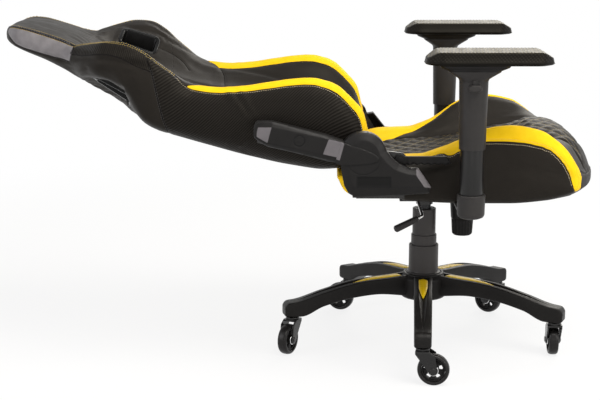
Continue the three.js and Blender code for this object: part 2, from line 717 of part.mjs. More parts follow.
const seatPlateInner = SEAT_HALF_WIDTH + GAP; // recliner plates stand against the cushion's sides
const seatPlateOuter = seatPlateInner + PLATE_THICK;
const backPlateInner = seatPlateOuter + 2 * GAP;
const backPlateOuter = backPlateInner + PLATE_THICK;
const coverInnerY = backPlateOuter + LOOSE_GAP;
const coverOuterY = coverInnerY + COVER_DEPTH;
const FRAME_LUG_REAR = -130;
const FRAME_LUG_FRONT = -80;
const LUG_THICK = 10;
const frameTop = SEAT_FLOOR + FRAME_BAR_HEIGHT;
const lugTop = frameTop + LUG_THICK + 2;
const seatPlateBottom = lugTop - LUG_THICK;

// Bars of the seat frame, grown by a clearance where the cushion is cut round them.
function seatFrameBars(grow) {
  const half = FRAME_BAR_WIDTH / 2 + grow;
  const z = [SEAT_FLOOR - (grow ? CLEAR : 0), frameTop + grow];
  const across = FRAME_RAIL_Y + half;
  const rail = (side) => box([FRAME_REAR - half, FRAME_FRONT + half],
    [side * FRAME_RAIL_Y - half, side * FRAME_RAIL_Y + half], z);
  const cross = (x) => box([x - half, x + half], [-across, across], z);
  const lugX = [FRAME_LUG_REAR - grow, FRAME_LUG_FRONT + grow];
  const lug = (side) => join(
    box(lugX, [side * FRAME_RAIL_Y - half, side * FRAME_RAIL_Y + half], [frameTop - 1, lugTop + grow]),
    box(lugX, [side * FRAME_RAIL_Y, side * (seatPlateInner + (grow ? CLEAR : 1))],
      [lugTop - LUG_THICK - grow, lugTop + grow]),
  );
  return join(rail(1), rail(-1), cross(FRAME_REAR), cross(TILT_PLATE_REAR + 20), cross(TILT_PLATE_FRONT - 20),
    cross(FRAME_FRONT), lug(1), lug(-1));
}

// The right plate also carries the recline lever on an ear.
function seatFrame() {
  const plate = (side) => {
    const leverEar = side < 0 ? arc(RECLINE_LEVER_X, RECLINE_LEVER_Z, LEVER_EAR_R, -20, 90, 4) : [];
    const outline = [
      new THREE.Vector2(FRAME_LUG_REAR - 25, seatPlateBottom), new THREE.Vector2(FRAME_LUG_FRONT + 20,
        seatPlateBottom),
      ...leverEar, ...arc(PIVOT_X, PIVOT_Z, PLATE_R, 20, 210, 9),
    ];
    const bore = crossPin(RECLINE_PIN_R + GAP, [0, side * ACROSS], PIVOT_X, PIVOT_Z, 16);
    return sidePlate(outline, [side * seatPlateInner, side * seatPlateOuter]).subtract(bore);
  };
  const leverBore = crossPin(LEVER_PIVOT_R + GAP, [0, -ACROSS], RECLINE_LEVER_X, RECLINE_LEVER_Z, 12);
  return join(seatFrameBars(0), plate(1), plate(-1)).subtract(leverBore);
}

const SEAT_REAR = -188;
const SEAT_NOSE = 342;
const SEAT_PAD_EDGE = 0.56; // of the half width
// heights above the cushion's floor, along X
const seatCrest = profile([[-188, 52], [-150, 54], [-111, 75], [-50, 77], [0, 84], [40, 108], [93, 136],
  [160, 149],
  [209, 141], [240, 124], [260, 106], [281, 78], [293, 59], [305, 48], [318, 43], [330, 40], [338, 37],
    [342, 34]]);
const seatMiddle = profile([[-188, 50], [-150, 52], [-110, 64], [-50, 74], [0, 80], [80, 90], [145, 103],
  [190, 114],
  [224, 125], [261, 116], [285, 101], [306, 81], [326, 60], [336, 46], [340, 40], [342, 35]]);
const seatPadEdge = profile([[-188, 50], [-150, 52], [-110, 62], [-50, 68], [0, 75], [80, 83], [145, 97],
  [200, 101],
  [250, 107], [280, 96], [299, 76], [318, 54], [330, 43], [338, 38], [342, 34]]);
const seatUnder = profile([[-188, 40], [-181, 24], [-170, 10], [-156, 0], [290, 0], [318, 5], [332, 13],
  [339, 22],
  [342, 28]]);
const seatCorner = profile([[-188, 0], [-160, 4], [-60, 5], [20, 1], [60, 0], [150, 0], [222, 6], [260, 14],
  [285, 19],
  [305, 15], [325, 8], [342, 1]]);
const seatPlan = profile([[-188, 0.86], [-175, 0.96], [-140, 1], [250, 1], [272, 0.985], [290, 0.9],
  [305, 0.77],
  [318, 0.62], [330, 0.44], [338, 0.27], [342, 0.15]]);

function seatRing(x) {
  const wide = SEAT_HALF_WIDTH * seatPlan(x);
  const under = SEAT_FLOOR + seatUnder(x);
  const corner = under + seatCorner(x);
  const crest = SEAT_FLOOR + seatCrest(x);
  const side = crest - corner;
  return mirrored([
    [x, 0, under], [x, wide * 0.75, lerp(under, corner, 0.2)], [x, wide * 0.955, corner],
      [x, wide, corner + side * 0.1],
    [x, wide, corner + side * 0.45], [x, wide, corner + side * 0.72], [x, wide * 0.97, corner + side * 0.9],
    [x, wide * 0.91, crest], [x, wide * 0.82, crest - (crest - SEAT_FLOOR - seatPadEdge(x)) * 0.14],
    [x, wide * 0.7, SEAT_FLOOR + lerp(seatPadEdge(x), seatCrest(x), 0.4)],
    [x, wide * SEAT_PAD_EDGE, SEAT_FLOOR + seatPadEdge(x)],
    [x, wide * 0.28, SEAT_FLOOR + lerp(seatPadEdge(x), seatMiddle(x), 0.8)],
      [x, 0, SEAT_FLOOR + seatMiddle(x)],
  ]);
}

function seatCushion() {
  const places = [SEAT_REAR, -181, -168, -150, -130, -111, -80, -40, 0, 35, 65, 95, 130, 165, 200, 230, 255,
    272, 286, 300,
    312, 323, 332, 338, SEAT_NOSE];
  return loft(places.map(seatRing)).subtract(seatFrameBars(GAP));
}

// ---------------------------------------------------------------- recliner

function reclinePin(side) {
  const shank = crossPin(RECLINE_PIN_R, [side * (seatPlateInner - 1), side * (backPlateOuter + GAP + 1)],
    PIVOT_X, PIVOT_Z, 16);
  const inner = crossPin(RECLINE_PIN_R + 4, [side * (seatPlateInner - GAP - 4),
    side * (seatPlateInner - GAP)],
    PIVOT_X, PIVOT_Z, 16);
  const outer = crossPin(RECLINE_PIN_R + 4, [side * (backPlateOuter + GAP),
    side * (backPlateOuter + GAP + 4)],
    PIVOT_X, PIVOT_Z, 16);
  return join(shank, inner, outer);
}

const COVER_BOSS_R = 6;
const PIN_HEAD_DEPTH = 4;

// Shell with a bevelled outer face, open towards the chair, on bosses that stand on the plate behind it.
function coverShell(outline, bosses, side, bossInner) {
  const outer = bevelledPlate(outline, [side * coverInnerY, side * coverOuterY], COVER_BEVEL);
  const hollow = insetPlate(outline, [side * (coverInnerY - CLEAR), side * (coverOuterY - COVER_SHELL)],
    COVER_BEVEL);
  const posts = bosses.map(([x, z]) => crossPin(COVER_BOSS_R, [side * bossInner, side * (coverOuterY - 1)],
    x, z, 12));
  return join(outer.subtract(hollow), ...posts);
}

// The right cover has a tall round top and a step for the recline lever; the left one has a low top and a nose.
function sideCover(side) {
  const low = SEAT_FLOOR + 21;
  const at = (x, z) => new THREE.Vector2(PIVOT_X + x, z);
  const top = side < 0
    ? [at(109, low + 54), at(91, low + 56), at(71, low + 64), at(55, low + 78),
      ...arc(PIVOT_X, PIVOT_Z, COVER_ARC_R.right, 18, 200, 11)]
    : [at(109, low + 48), at(71, low + 50), at(43, PIVOT_Z + 4), at(31, PIVOT_Z + 2),
      ...arc(PIVOT_X, PIVOT_Z, COVER_ARC_R.left, 8, 200, 10)];
  const outline = [
    at(-16, low), at(87, low + 4), at(129, low + 7), at(133, low + 19), ...top, at(-40, low + 39),
      at(-36, low + 21),
    at(-28, low + 7),
  ];
  const bosses = [[PIVOT_X + 15, low + 30], [PIVOT_X + 60, low + 24]];
  return coverShell(outline, bosses, side, seatPlateOuter + GAP);
}

function reclineLever() {
  const y = [-backPlateInner, -(backPlateInner + 6)];
  const top = RECLINE_LEVER_Z + 11;
  const low = RECLINE_LEVER_Z - 3;
  const tip = RECLINE_LEVER_X + RECLINE_LEVER_REACH;
  const waves = stations(tip - 6, RECLINE_LEVER_X + 28, 12).map((x, i) => {
    return new THREE.Vector2(x, low + (i % 2 ? 2.2 : 0));
  });
  const outline = [
    ...arc(RECLINE_LEVER_X, RECLINE_LEVER_Z, 13, 60, 310, 8), new THREE.Vector2(RECLINE_LEVER_X + 18,
      low - 4),
    ...waves.reverse(), new THREE.Vector2(tip, low + 2), new THREE.Vector2(tip - 8, top),
    new THREE.Vector2(RECLINE_LEVER_X + 16, top - 1),
  ];
  const stub = crossPin(LEVER_PIVOT_R, [-(seatPlateInner + GAP), -(backPlateInner + 1)], RECLINE_LEVER_X,
    RECLINE_LEVER_Z, 12);
  return sidePlate(outline, y).add(stub);
}

// ---------------------------------------------------------------- back, in its own frame:
// X along the back from the recline pivot, Z out of its front face, Y to the sitter's right

const back = new THREE.Group();
const rise = degToRad(BACK_RISE);
back.applyMatrix4(new THREE.Matrix4().makeBasis(
  new THREE.Vector3(-Math.cos(rise), 0, Math.sin(rise)),
  new THREE.Vector3(0, -1, 0),
  new THREE.Vector3(Math.sin(rise), 0, Math.cos(rise)),
));
back.position.set(PIVOT_X, 0, PIVOT_Z);

const BACK_START = -8;
const BACK_END = 762;
const WIDE = SEAT_HALF_WIDTH - BACK_INSET;
const backPlan = profile([[-8, WIDE - 18], [30, WIDE - 6], [80, WIDE], [350, WIDE + 1], [400, WIDE + 8],
  [450, SHOULDER_HALF_WIDTH - 10], [495, SHOULDER_HALF_WIDTH], [540, SHOULDER_HALF_WIDTH - 8],
  [575, (SHOULDER_HALF_WIDTH + HEAD_HALF_WIDTH) / 2 + 14], [604, HEAD_HALF_WIDTH + 26],
    [635, HEAD_HALF_WIDTH],
  [700, HEAD_HALF_WIDTH - 5], [726, HEAD_HALF_WIDTH - 13], [742, HEAD_HALF_WIDTH - 32],
    [754, HEAD_HALF_WIDTH - 62],
  [762, HEAD_HALF_WIDTH - 100]]);
const backCrest = profile([[-8, 28], [0, 45], [20, 76], [45, 97], [80, 110], [122, 115], [171, 101],
  [218, 81], [264, 63],
  [310, 50], [363, 41], [400, 50], [430, 62], [465, 81], [498, 89], [530, 80], [565, 62], [604, 52],
    [671, 51],
  [732, 48], [746, 44], [756, 37], [762, 29]]);
const backPad = profile([[-8, 18], [40, 38], [100, 45], [160, 44], [220, 32], [290, 18], [360, 13], [430, 16],
  [500, 23], [560, 33], [604, 44], [671, 49], [732, 47], [746, 44], [756, 37], [762, 29]]);
const backRear = profile([[-8, -22], [8, -44], [40, -57], [79, -65], [196, -72], [313, -73], [374, -72],
  [411, -66],
  [476, -50], [540, -32], [591, -20], [622, -13], [668, -4], [735, 5], [762, 10]]);
const backLow = profile([[-8, -14], [40, -40], [100, -50], [300, -56], [400, -54], [432, -44], [454, -22],
  [473, 0],
  [490, 13], [520, 20], [561, 15], [583, 8], [611, 10], [681, 9], [716, 13], [740, 17], [762, 18]]);
const backRearWidth = profile([[-8, 0.8], [100, 0.86], [300, 0.86], [430, 0.8], [500, 0.72], [604, 0.72],
  [762, 0.8]]);
const backRearCorner = profile([[-8, 0.4], [50, 0.2], [110, 0.13], [400, 0.13], [450, 0.4], [500, 0.55],
  [762, 0.5]]);
const backCrestPlace = profile([[-8, 0.87], [350, 0.87], [430, 0.92], [500, 0.95], [604, 0.93], [762, 0.93]]);
const backPadWidth = profile([[-8, 0.55], [350, 0.53], [500, 0.5], [604, 0.6], [680, 0.75], [762, 0.75]]);

function backRing(along) {
  const wide = backPlan(along);
  const crest = backCrest(along);
  const rear = backRear(along);
  const low = backLow(along);
  const pad = backPad(along);
  const crestY = wide * backCrestPlace(along);
  const rearY = wide * backRearWidth(along);
  const padY = wide * backPadWidth(along);
  return mirrored([
    [along, 0, rear], [along, rearY * 0.62, lerp(rear, low, 0.04)],
      [along, rearY, lerp(rear, low, backRearCorner(along))],
    [along, wide * 0.965, low], [along, wide, lerp(low, crest, 0.3)], [along, wide, lerp(low, crest, 0.68)],
    [along, lerp(crestY, wide, 0.6), lerp(low, crest, 0.95)], [along, crestY, crest],
    [along, lerp(crestY, padY, 0.22), lerp(crest, pad, 0.12)], [along, lerp(crestY, padY, 0.6),
      lerp(crest, pad, 0.6)],
    [along, padY, lerp(crest, pad, 0.97)], [along, padY * 0.5, pad + 1], [along, 0, pad + 2],
  ]);
}

const BACK_FRAME_START = 36;
const BACK_FRAME_BEND = 430;
const BACK_FRAME_END = 690;
const LUG_PLACES = [95, 175];
const LUG_LENGTH = 26;

// A bar between two places along the back, each [along, height above the pivot's plane].
function backBar([x0, z0], [x1, z1], y, grow) {
  const half = BACK_BAR_WIDTH / 2 + grow;
  const tall = BACK_BAR_HEIGHT / 2 + grow;
  const ring = (x, z) => [[x, y - half, z - tall], [x, y + half, z - tall], [x, y + half, z + tall],
    [x, y - half, z + tall]];
  return loft([ring(x0 - grow, z0), ring(x1 + grow, z1)]);
}

const framePost = { start: [BACK_FRAME_START, -18], bend: [BACK_FRAME_BEND, -26], end: [BACK_FRAME_END, 23] };

function backFrameBars(grow) {
  const half = BACK_BAR_WIDTH / 2 + grow;
  const tall = BACK_BAR_HEIGHT / 2 + grow;
  const cross = ([x, z], reach) => box([x - half, x + half], [-reach - half, reach + half],
    [z - tall, z + tall]);
  const lug = (x, side) => box([x - LUG_LENGTH / 2 - grow, x + LUG_LENGTH / 2 + grow],
    [side * BACK_POST_Y, side * (backPlateInner + (grow ? CLEAR : 1))], [-22 - tall, -22 + tall]);
  const sides = [1, -1];
  return join(
    ...sides.map((side) => backBar(framePost.start, framePost.bend, side * BACK_POST_Y, grow)),
    ...sides.map((side) => backBar(framePost.bend, framePost.end, side * NECK_POST_Y, grow)),
    cross(framePost.start, BACK_POST_Y), cross(framePost.bend, BACK_POST_Y),
      cross(framePost.end, NECK_POST_Y),
    ...sides.flatMap((side) => LUG_PLACES.map((x) => lug(x, side))),
  );
}

function backFrame() {
  const plate = (side) => {
    const outline = [
      ...arc(0, 0, PLATE_R, 70, 290, 10), new THREE.Vector2(60, -32), new THREE.Vector2(205, -32),
      new THREE.Vector2(212, -12), new THREE.Vector2(205, 4), new THREE.Vector2(60, 12),
    ];
    const bore = crossPin(RECLINE_PIN_R + GAP, [0, side * ACROSS], 0, 0, 16);
    return sidePlate(outline, [side * backPlateInner, side * backPlateOuter]).subtract(bore);
  };
  return join(backFrameBars(0), plate(1), plate(-1));
}

function slotCut(side, grow) {
  const depth = ACROSS;
  const [x0, x1] = [SLOT_START - grow, SLOT_END + grow];
  const [y0, y1] = [SLOT_INNER - grow, SLOT_OUTER + grow];
  const corner = 10 + grow;
  const outline = new THREE.Shape([
    ...arc(x1 - corner, y1 - corner, corner, 0, 90, 3), ...arc(x0 + corner, y1 - corner, corner, 90, 180, 3),
    ...arc(x0 + corner, y0 + corner, corner, 180, 270, 3), ...arc(x1 - corner, y0 + corner, corner, 270,
      360, 3),
  ]);
  const geometry = new THREE.ExtrudeGeometry(outline, { depth, bevelEnabled: false });
  return solid(geometry.translate(0, 0, -depth / 2).scale(1, side, 1));
}

const backBodyPlaces = [BACK_START, 4, 22, 45, 75, 110, 150, 195, 240, 290, 340, 380, 410, 432, 452, 472,
  495, 520, 545,
  568, 588, 606, 630, 665, 700, 728, 742, 753, BACK_END];
const backBody = loft(backBodyPlaces.map(backRing));

function backCushion() {
  return backBody.subtract(backFrameBars(GAP)).subtract(slotCut(1, 0)).subtract(slotCut(-1, 0));
}

// Frame that lines a belt slot and stands a lip proud of the cushion, front and rear.
function slotBezel(side) {
  const wall = slotCut(side, -GAP).subtract(slotCut(side, -GAP - BEZEL_WALL));
  return wall.intersect(moved(backBody, 0, 0, BEZEL_LIP).add(moved(backBody, 0, 0, -BEZEL_LIP)));
}

// Long cover over the back's hinge plate. Its hollow end runs round the side cover's round top.
function bracketCover(side, coverArcR) {
  const roundEnd = arc(0, 0, coverArcR + LOOSE_GAP, 22, -30, 3);
  const outline = [
    ...roundEnd, new THREE.Vector2(roundEnd.at(-1).x + 3, roundEnd.at(-1).y - 6), new THREE.Vector2(184, -34),
    new THREE.Vector2(215, -22), new THREE.Vector2(220, 7), new THREE.Vector2(188, 14),
      new THREE.Vector2(80, 20),
  ];
  return coverShell(outline, [[95, -8], [180, -10]], side, backPlateOuter + GAP);
}

// ---------------------------------------------------------------- armrests

const footTop = SEAT_FLOOR - GAP;
const footBottom = footTop - ARM_FOOT_THICK;
const headTop = SLEEVE_TOP + ARM_HEAD_HEIGHT;
const sliderBottom = headTop + GAP;
const swivelBottom = sliderBottom + SLIDER_HEIGHT + GAP;
const padBottom = swivelBottom + SWIVEL_HEIGHT + GAP;
const SPIGOT_R = 15;

// Ring of a rectangle with cut corners, as a list of [x, y, z].
function cutRectangle(length, width, corner, z) {
  const [x, y] = [length / 2, width / 2];
  return [
    [x, -y + corner], [x, y - corner], [x - corner, y], [-x + corner, y], [-x, y - corner], [-x, -y + corner],
    [-x + corner, -y], [x - corner, -y],
  ].map(([px, py]) => [px, py, z]);
}

// Solid through level rings, from the lowest to the highest.
function stack(rings) {
  const turnedRings = rings.map((ring) => ring.map(([x, y, z]) => [z, x, y]));
  const geometry = toGeometry(loft(turnedRings));
  const swap = new THREE.Matrix4().set(0, 1, 0, 0, 0, 0, 1, 0, 1, 0, 0, 0, 0, 0, 0, 1);
  return solid(geometry.applyMatrix4(swap));
}

function armBracket(side) {
  const foot = box([-ARM_FOOT_WIDTH / 2, ARM_FOOT_WIDTH / 2], [side * (ARM_FOOT_INNER - ARM_Y), 0],
    [footBottom, footTop]);
  const bottom = footBottom - COLLAR_DROP;
  const collar = turned([[0, bottom], [COLLAR_R - 8, bottom], [COLLAR_R - 1, bottom + 6],
    [COLLAR_R, COLLAR_TOP],
    [POST_R, COLLAR_TOP], [POST_R, POST_TOP], [POST_R - POST_WALL, POST_TOP],
      [POST_R - POST_WALL, COLLAR_TOP],
    [0, COLLAR_TOP]], 20);
  return foot.add(collar);
}

function armSleeve() {
  const body = turned([[0, SLEEVE_BOTTOM], [SLEEVE_R_BOTTOM, SLEEVE_BOTTOM], [SLEEVE_R_TOP, SLEEVE_TOP],
    [0, SLEEVE_TOP]], 20);
  const neck = 2 * SLEEVE_R_TOP;
  const head = stack([
    cutRectangle(neck - 2, neck - 2, 16, SLEEVE_TOP - 8), cutRectangle(neck + 2, neck, 14, SLEEVE_TOP),
    cutRectangle(ARM_HEAD_LENGTH, ARM_HEAD_WIDTH, 12, headTop - 3), cutRectangle(ARM_HEAD_LENGTH,
      ARM_HEAD_WIDTH, 12, headTop),
  ]);
  const bore = upright(POST_R + GAP, SLEEVE_BOTTOM - CLEAR, SLEEVE_TOP - 4);
  return body.add(head).subtract(bore);
}

const BUTTON_Z = 601;
const BUTTON_REACH = 9;

function armButton(side) {
  const inner = SLEEVE_R_TOP + GAP;
  const outline = [...arc(6, BUTTON_Z, 7, -90, 90, 6), ...arc(-6, BUTTON_Z, 7, 90, 270, 6)];
  return sidePlate(outline, [side * inner, side * (inner + BUTTON_REACH)]);
}

function armSlider() {
  const plate = stack([
    cutRectangle(ARM_HEAD_LENGTH, ARM_HEAD_WIDTH + 4, 12, sliderBottom),
    cutRectangle(SLIDER_LENGTH, SLIDER_WIDTH, 14, sliderBottom + SLIDER_HEIGHT),
  ]);
  return plate.add(upright(SPIGOT_R, sliderBottom + SLIDER_HEIGHT - 1, swivelBottom + SWIVEL_HEIGHT,
    { sides: 20 }));
}

function armSwivel() {
  const plate = stack([
    cutRectangle(SLIDER_LENGTH + 6, SLIDER_WIDTH + 4, 16, swivelBottom),
    cutRectangle(SLIDER_LENGTH + 12, SLIDER_WIDTH + 8, 18, swivelBottom + SWIVEL_HEIGHT),
  ]);
  return plate.subtract(upright(SPIGOT_R + GAP, swivelBottom - CLEAR, swivelBottom + SWIVEL_HEIGHT + CLEAR,
    { sides: 20 }));
}

function armPad() {
  const level = (inset, z) => cutRectangle(PAD_LENGTH - 2 * inset, PAD_WIDTH - 2 * inset, 26 - inset * 0.4,
    z);
  return stack([level(4, padBottom), level(0, padBottom + 5), level(0, padBottom + PAD_HEIGHT - 11),
    level(11, padBottom + PAD_HEIGHT)]);
}

function addArm(name, side) {
  const arm = new THREE.Group();
  arm.position.set(ARM_X, side * ARM_Y, 0);
  chair.add(arm);
  addPiece(arm, `arm_bracket_${name}`, armBracket(side), MATERIAL.darkSteel);
  addPiece(arm, `arm_sleeve_${name}`, armSleeve(), MATERIAL.coverPlastic);
  addPiece(arm, `arm_button_${name}`, armButton(side), MATERIAL.nylon);
  addPiece(arm, `arm_slider_${name}`, armSlider(), MATERIAL.nylon);
  const top = new THREE.Group();
  arm.add(top);
  addPiece(top, `arm_swivel_${name}`, armSwivel(), MATERIAL.nylon);
  const pad = new THREE.Group();
  pad.position.x = PAD_FORWARD;
  top.add(pad);
  addPiece(pad, `arm_pad_${name}`, armPad(), MATERIAL.padFoam);
}

// ---------------------------------------------------------------- assembly

const base = new THREE.Group();
base.rotation.z = degToRad(BASE_TURN);
chair.add(base);
addPiece(base, 'star_base', starBase(), MATERIAL.nylon);
for (let i = 0; i < LEG_COUNT; i += 1) {
  const leg = new THREE.Group();
  const azimuth = (i * 360) / LEG_COUNT;
  leg.rotation.z = degToRad(azimuth);
  base.add(leg);
  addPiece(leg, `leg_insert_${i + 1}`, legInsert(), MATERIAL.yellow);
  addCastor(leg, i + 1, degToRad(CASTOR_TURNS[i] - azimuth - BASE_TURN));
}

addPiece(chair, 'gas_cylinder', gasCylinder(), MATERIAL.darkSteel);
addPiece(chair, 'gas_piston', gasPiston(), MATERIAL.darkSteel);
addPiece(chair, 'column_cover_lower', lowerCover(), MATERIAL.nylon);
addPiece(chair, 'column_cover_middle', tube(coverOuter.middle, coverInner.middle, middleBottom,
  MIDDLE_COVER_TOP),
  MATERIAL.nylon);
addPiece(chair, 'column_cover_upper', upperCover(), MATERIAL.nylon);

addPiece(chair, 'mechanism_housing', mechanismHousing(), MATERIAL.darkSteel);
addPiece(chair, 'tilt_plate', tiltPlate(), MATERIAL.darkSteel);
addPiece(chair, 'tilt_pin', tiltPin(), MATERIAL.brightSteel);
addPiece(chair, 'spring_cup', springCup(), MATERIAL.nylon);
addPiece(chair, 'tension_spring', tensionSpring(), MATERIAL.brightSteel);
addPiece(chair, 'tension_bolt', tensionBolt(), MATERIAL.brightSteel);
addPiece(chair, 'tension_knob', tensionKnob(), MATERIAL.nylon);
addPiece(chair, 'height_lever_rod', leverRod(), MATERIAL.brightSteel);
addPiece(chair, 'height_lever_grip', leverGrip(), MATERIAL.nylon);

addPiece(chair, 'seat_frame', seatFrame(), MATERIAL.darkSteel);
addPiece(chair, 'seat_cushion', seatCushion(), MATERIAL.leather);
addPiece(chair, 'recline_lever', reclineLever(), MATERIAL.nylon);

chair.add(back);
addPiece(back, 'back_frame', backFrame(), MATERIAL.darkSteel);
addPiece(back, 'back_cushion', backCushion(), MATERIAL.leather);

for (const [name, side] of [['left', 1], ['right', -1]]) {
  addPiece(chair, `recline_pin_${name}`, reclinePin(side), MATERIAL.brightSteel);
  addPiece(chair, `side_cover_${name}`, sideCover(side), MATERIAL.coverPlastic);
  addPiece(back, `bracket_cover_${name}`, bracketCover(-side, COVER_ARC_R[name]), MATERIAL.coverPlastic);
  addPiece(back, `slot_bezel_${name}`, slotBezel(-side), MATERIAL.nylon);
  addArm(name, side);
}

// The origin is on the floor, under the middle of the whole chair as it lies.
const part = new THREE.Group();
part.add(chair);
const extent = new THREE.Box3().setFromObject(part, true);
chair.position.set(-(extent.min.x + extent.max.x) / 2, -(extent.min.y + extent.max.y) / 2, -extent.min.z);

export default part;
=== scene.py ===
"""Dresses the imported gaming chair: upholstery, stitching, plastic, painted metal, lights and camera."""
import math

import bmesh
import bpy
import numpy as np
from mathutils import Matrix, Vector
from mathutils.geometry import delaunay_2d_cdt


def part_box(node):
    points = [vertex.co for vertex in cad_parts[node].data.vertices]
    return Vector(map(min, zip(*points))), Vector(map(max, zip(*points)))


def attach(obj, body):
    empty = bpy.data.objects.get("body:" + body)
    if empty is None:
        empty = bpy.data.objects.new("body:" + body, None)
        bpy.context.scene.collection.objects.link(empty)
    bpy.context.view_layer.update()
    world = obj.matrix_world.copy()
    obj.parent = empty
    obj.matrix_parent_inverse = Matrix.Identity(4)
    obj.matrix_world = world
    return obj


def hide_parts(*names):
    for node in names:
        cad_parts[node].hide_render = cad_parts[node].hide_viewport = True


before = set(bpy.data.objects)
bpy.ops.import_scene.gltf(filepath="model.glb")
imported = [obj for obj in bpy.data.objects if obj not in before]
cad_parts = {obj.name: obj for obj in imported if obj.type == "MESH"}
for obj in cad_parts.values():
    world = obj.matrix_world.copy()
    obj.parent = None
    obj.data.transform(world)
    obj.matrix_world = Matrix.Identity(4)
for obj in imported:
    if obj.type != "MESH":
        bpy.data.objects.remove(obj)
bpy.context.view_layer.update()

MM = 0.001

# The shapes below are in millimetres, from the point on the floor under the gas column.
cylinder_low, cylinder_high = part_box("gas_cylinder")
COLUMN_X = (cylinder_low.x + cylinder_high.x) / 2 / MM


# ------------------------------------------------------------------ numbers and curves

def profile(points):
    """Smooth curve through a few points, which never passes above or below its neighbouring points."""
    xs = np.array([p[0] for p in points], float)
    ys = np.array([p[1] for p in points], float)
    steep = np.diff(ys) / np.diff(xs)
    slope = np.empty(len(xs))
    slope[0], slope[-1] = steep[0], steep[-1]
    before, after = steep[:-1], steep[1:]
    both = before * after > 0
    total = np.where(both, before + after, 1)
    slope[1:-1] = np.where(both, 2 * before * after / total, 0)

    def value(x):
        x = np.clip(np.asarray(x, float), xs[0], xs[-1])
        i = np.clip(np.searchsorted(xs, x, side="right") - 1, 0, len(xs) - 2)
        span = xs[i + 1] - xs[i]
        t = (x - xs[i]) / span
        up = ys[i + 1] - ys[i]
        a = slope[i] * span - up
        b = up - slope[i + 1] * span
        return ys[i] + t * up + t * (1 - t) * ((1 - t) * a + t * b)

    return value


def lerp(a, b, t):
    return a + (b - a) * t


def smooth(x, low, high):
    t = np.clip((np.asarray(x, float) - low) / (high - low), 0, 1)
    return t * t * (3 - 2 * t)


def bump(distance, width):
    """1 on a line, falling to 0 within its width."""
    return np.exp(-((np.asarray(distance, float) / width) ** 2))


def curve_distance(px, pz, line):
    """Distance from points to an open polyline."""
    line = np.asarray(line, float)
    best = np.full(px.shape, 1e9)
    for (ax, az), (bx, bz) in zip(line[:-1], line[1:]):
        dx, dz = bx - ax, bz - az
        t = np.clip(((px - ax) * dx + (pz - az) * dz) / (dx * dx + dz * dz), 0, 1)
        best = np.minimum(best, np.hypot(px - (ax + t * dx), pz - (az + t * dz)))
    return best


def lengths_along(points):
    """Distance along a polyline at each of its points."""
    return np.concatenate([[0], np.cumsum(np.linalg.norm(np.diff(points, axis=0), axis=1))])


def at_lengths(places, reach, values):
    """A polyline's values at distances along it."""
    return np.stack([np.interp(places, reach, values[:, k]) for k in range(values.shape[1])], axis=1)


def spline(points, count):
    """Points spread evenly along a smooth curve through the given points."""
    p = np.asarray(points, float)
    p = np.vstack([2 * p[0] - p[1], p, 2 * p[-1] - p[-2]])
    t = np.linspace(0, 1, 24, endpoint=False)[:, None]
    parts = []
    for a, b, c, d in zip(p[:-3], p[1:-2], p[2:-1], p[3:]):
        parts.append(0.5 * ((2 * b) + (c - a) * t + (2 * a - 5 * b + 4 * c - d) * t ** 2
                            + (3 * b - a - 3 * c + d) * t ** 3))
    fine = np.vstack(parts + [p[-2][None, :]])
    reach = lengths_along(fine)
    return at_lengths(np.linspace(0, reach[-1], count), reach, fine)


def unit(v):
    return v / np.maximum(np.linalg.norm(v, axis=-1, keepdims=True), 1e-9)


# ------------------------------------------------------------------ meshes

def to_row(points):
    """Chair millimetres to the frame's metres."""
    p = np.asarray(points, float) * MM
    p[..., 0] += COLUMN_X * MM
    return p


def make_object(name, points, faces, material, in_row=False, sharp=None):
    """A mesh object from points in chair millimetres, or in metres if in_row."""
    mesh = bpy.data.meshes.new(name)
    place = np.asarray(points, float) if in_row else to_row(points)
    mesh.from_pydata(place.tolist(), [], [tuple(int(i) for i in f) for f in faces])
    mesh.validate()
    shape = bmesh.new()
    shape.from_mesh(mesh)
    bmesh.ops.recalc_face_normals(shape, faces=shape.faces)
    shape.to_mesh(mesh)
    shape.free()
    mesh.shade_smooth()
    if sharp is not None:
        mesh.set_sharp_from_angle(angle=math.radians(sharp))
    obj = bpy.data.objects.new(name, mesh)
    bpy.context.scene.collection.objects.link(obj)
    for m in material if isinstance(material, (list, tuple)) else [material]:
        mesh.materials.append(m)
    return obj


def place_on(obj, body, replaced=()):
    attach(obj, body)
    if replaced:
        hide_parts(*replaced)
    return obj


def grid_faces(rows, columns, flip=False):
    """Quads of a grid of rows x columns points, whose columns run round a ring."""
    i, k = np.meshgrid(np.arange(rows - 1), np.arange(columns), indexing="ij")
    n = (k + 1) % columns
    low, high = i * columns, (i + 1) * columns
    quads = np.stack([low + k, low + n, high + n, high + k], axis=-1).reshape(-1, 4)
    return quads[:, ::-1] if flip else quads


def capped_tube(rings, flip=False):
    """Points and faces of a closed body through rings of equal length, with a fan over each end."""
    rings = np.asarray(rings, float)
    rows, columns = rings.shape[:2]
    points = np.vstack([rings.reshape(-1, 3), rings[0].mean(0), rings[-1].mean(0)])
    faces = grid_faces(rows, columns, flip).tolist()
    first, last = rows * columns, rows * columns + 1
    for k in range(columns):
        n = (k + 1) % columns
        low = (first, n, k)
        high = (last, (rows - 1) * columns + k, (rows - 1) * columns + n)
        faces.append(low[::-1] if flip else low)
        faces.append(high[::-1] if flip else high)
    return points, faces


def ring_body(rings):
    """Points and faces of a body through rings of equal length, the last of which joins the first again."""
    rings = np.asarray(rings, float)
    rows, columns = rings.shape[:2]
    last = (rows - 1) * columns
    faces = grid_faces(rows, columns).tolist()
    faces += [[last + k, last + (k + 1) % columns, (k + 1) % columns, k] for k in range(columns)]
    return rings.reshape(-1, 3), faces


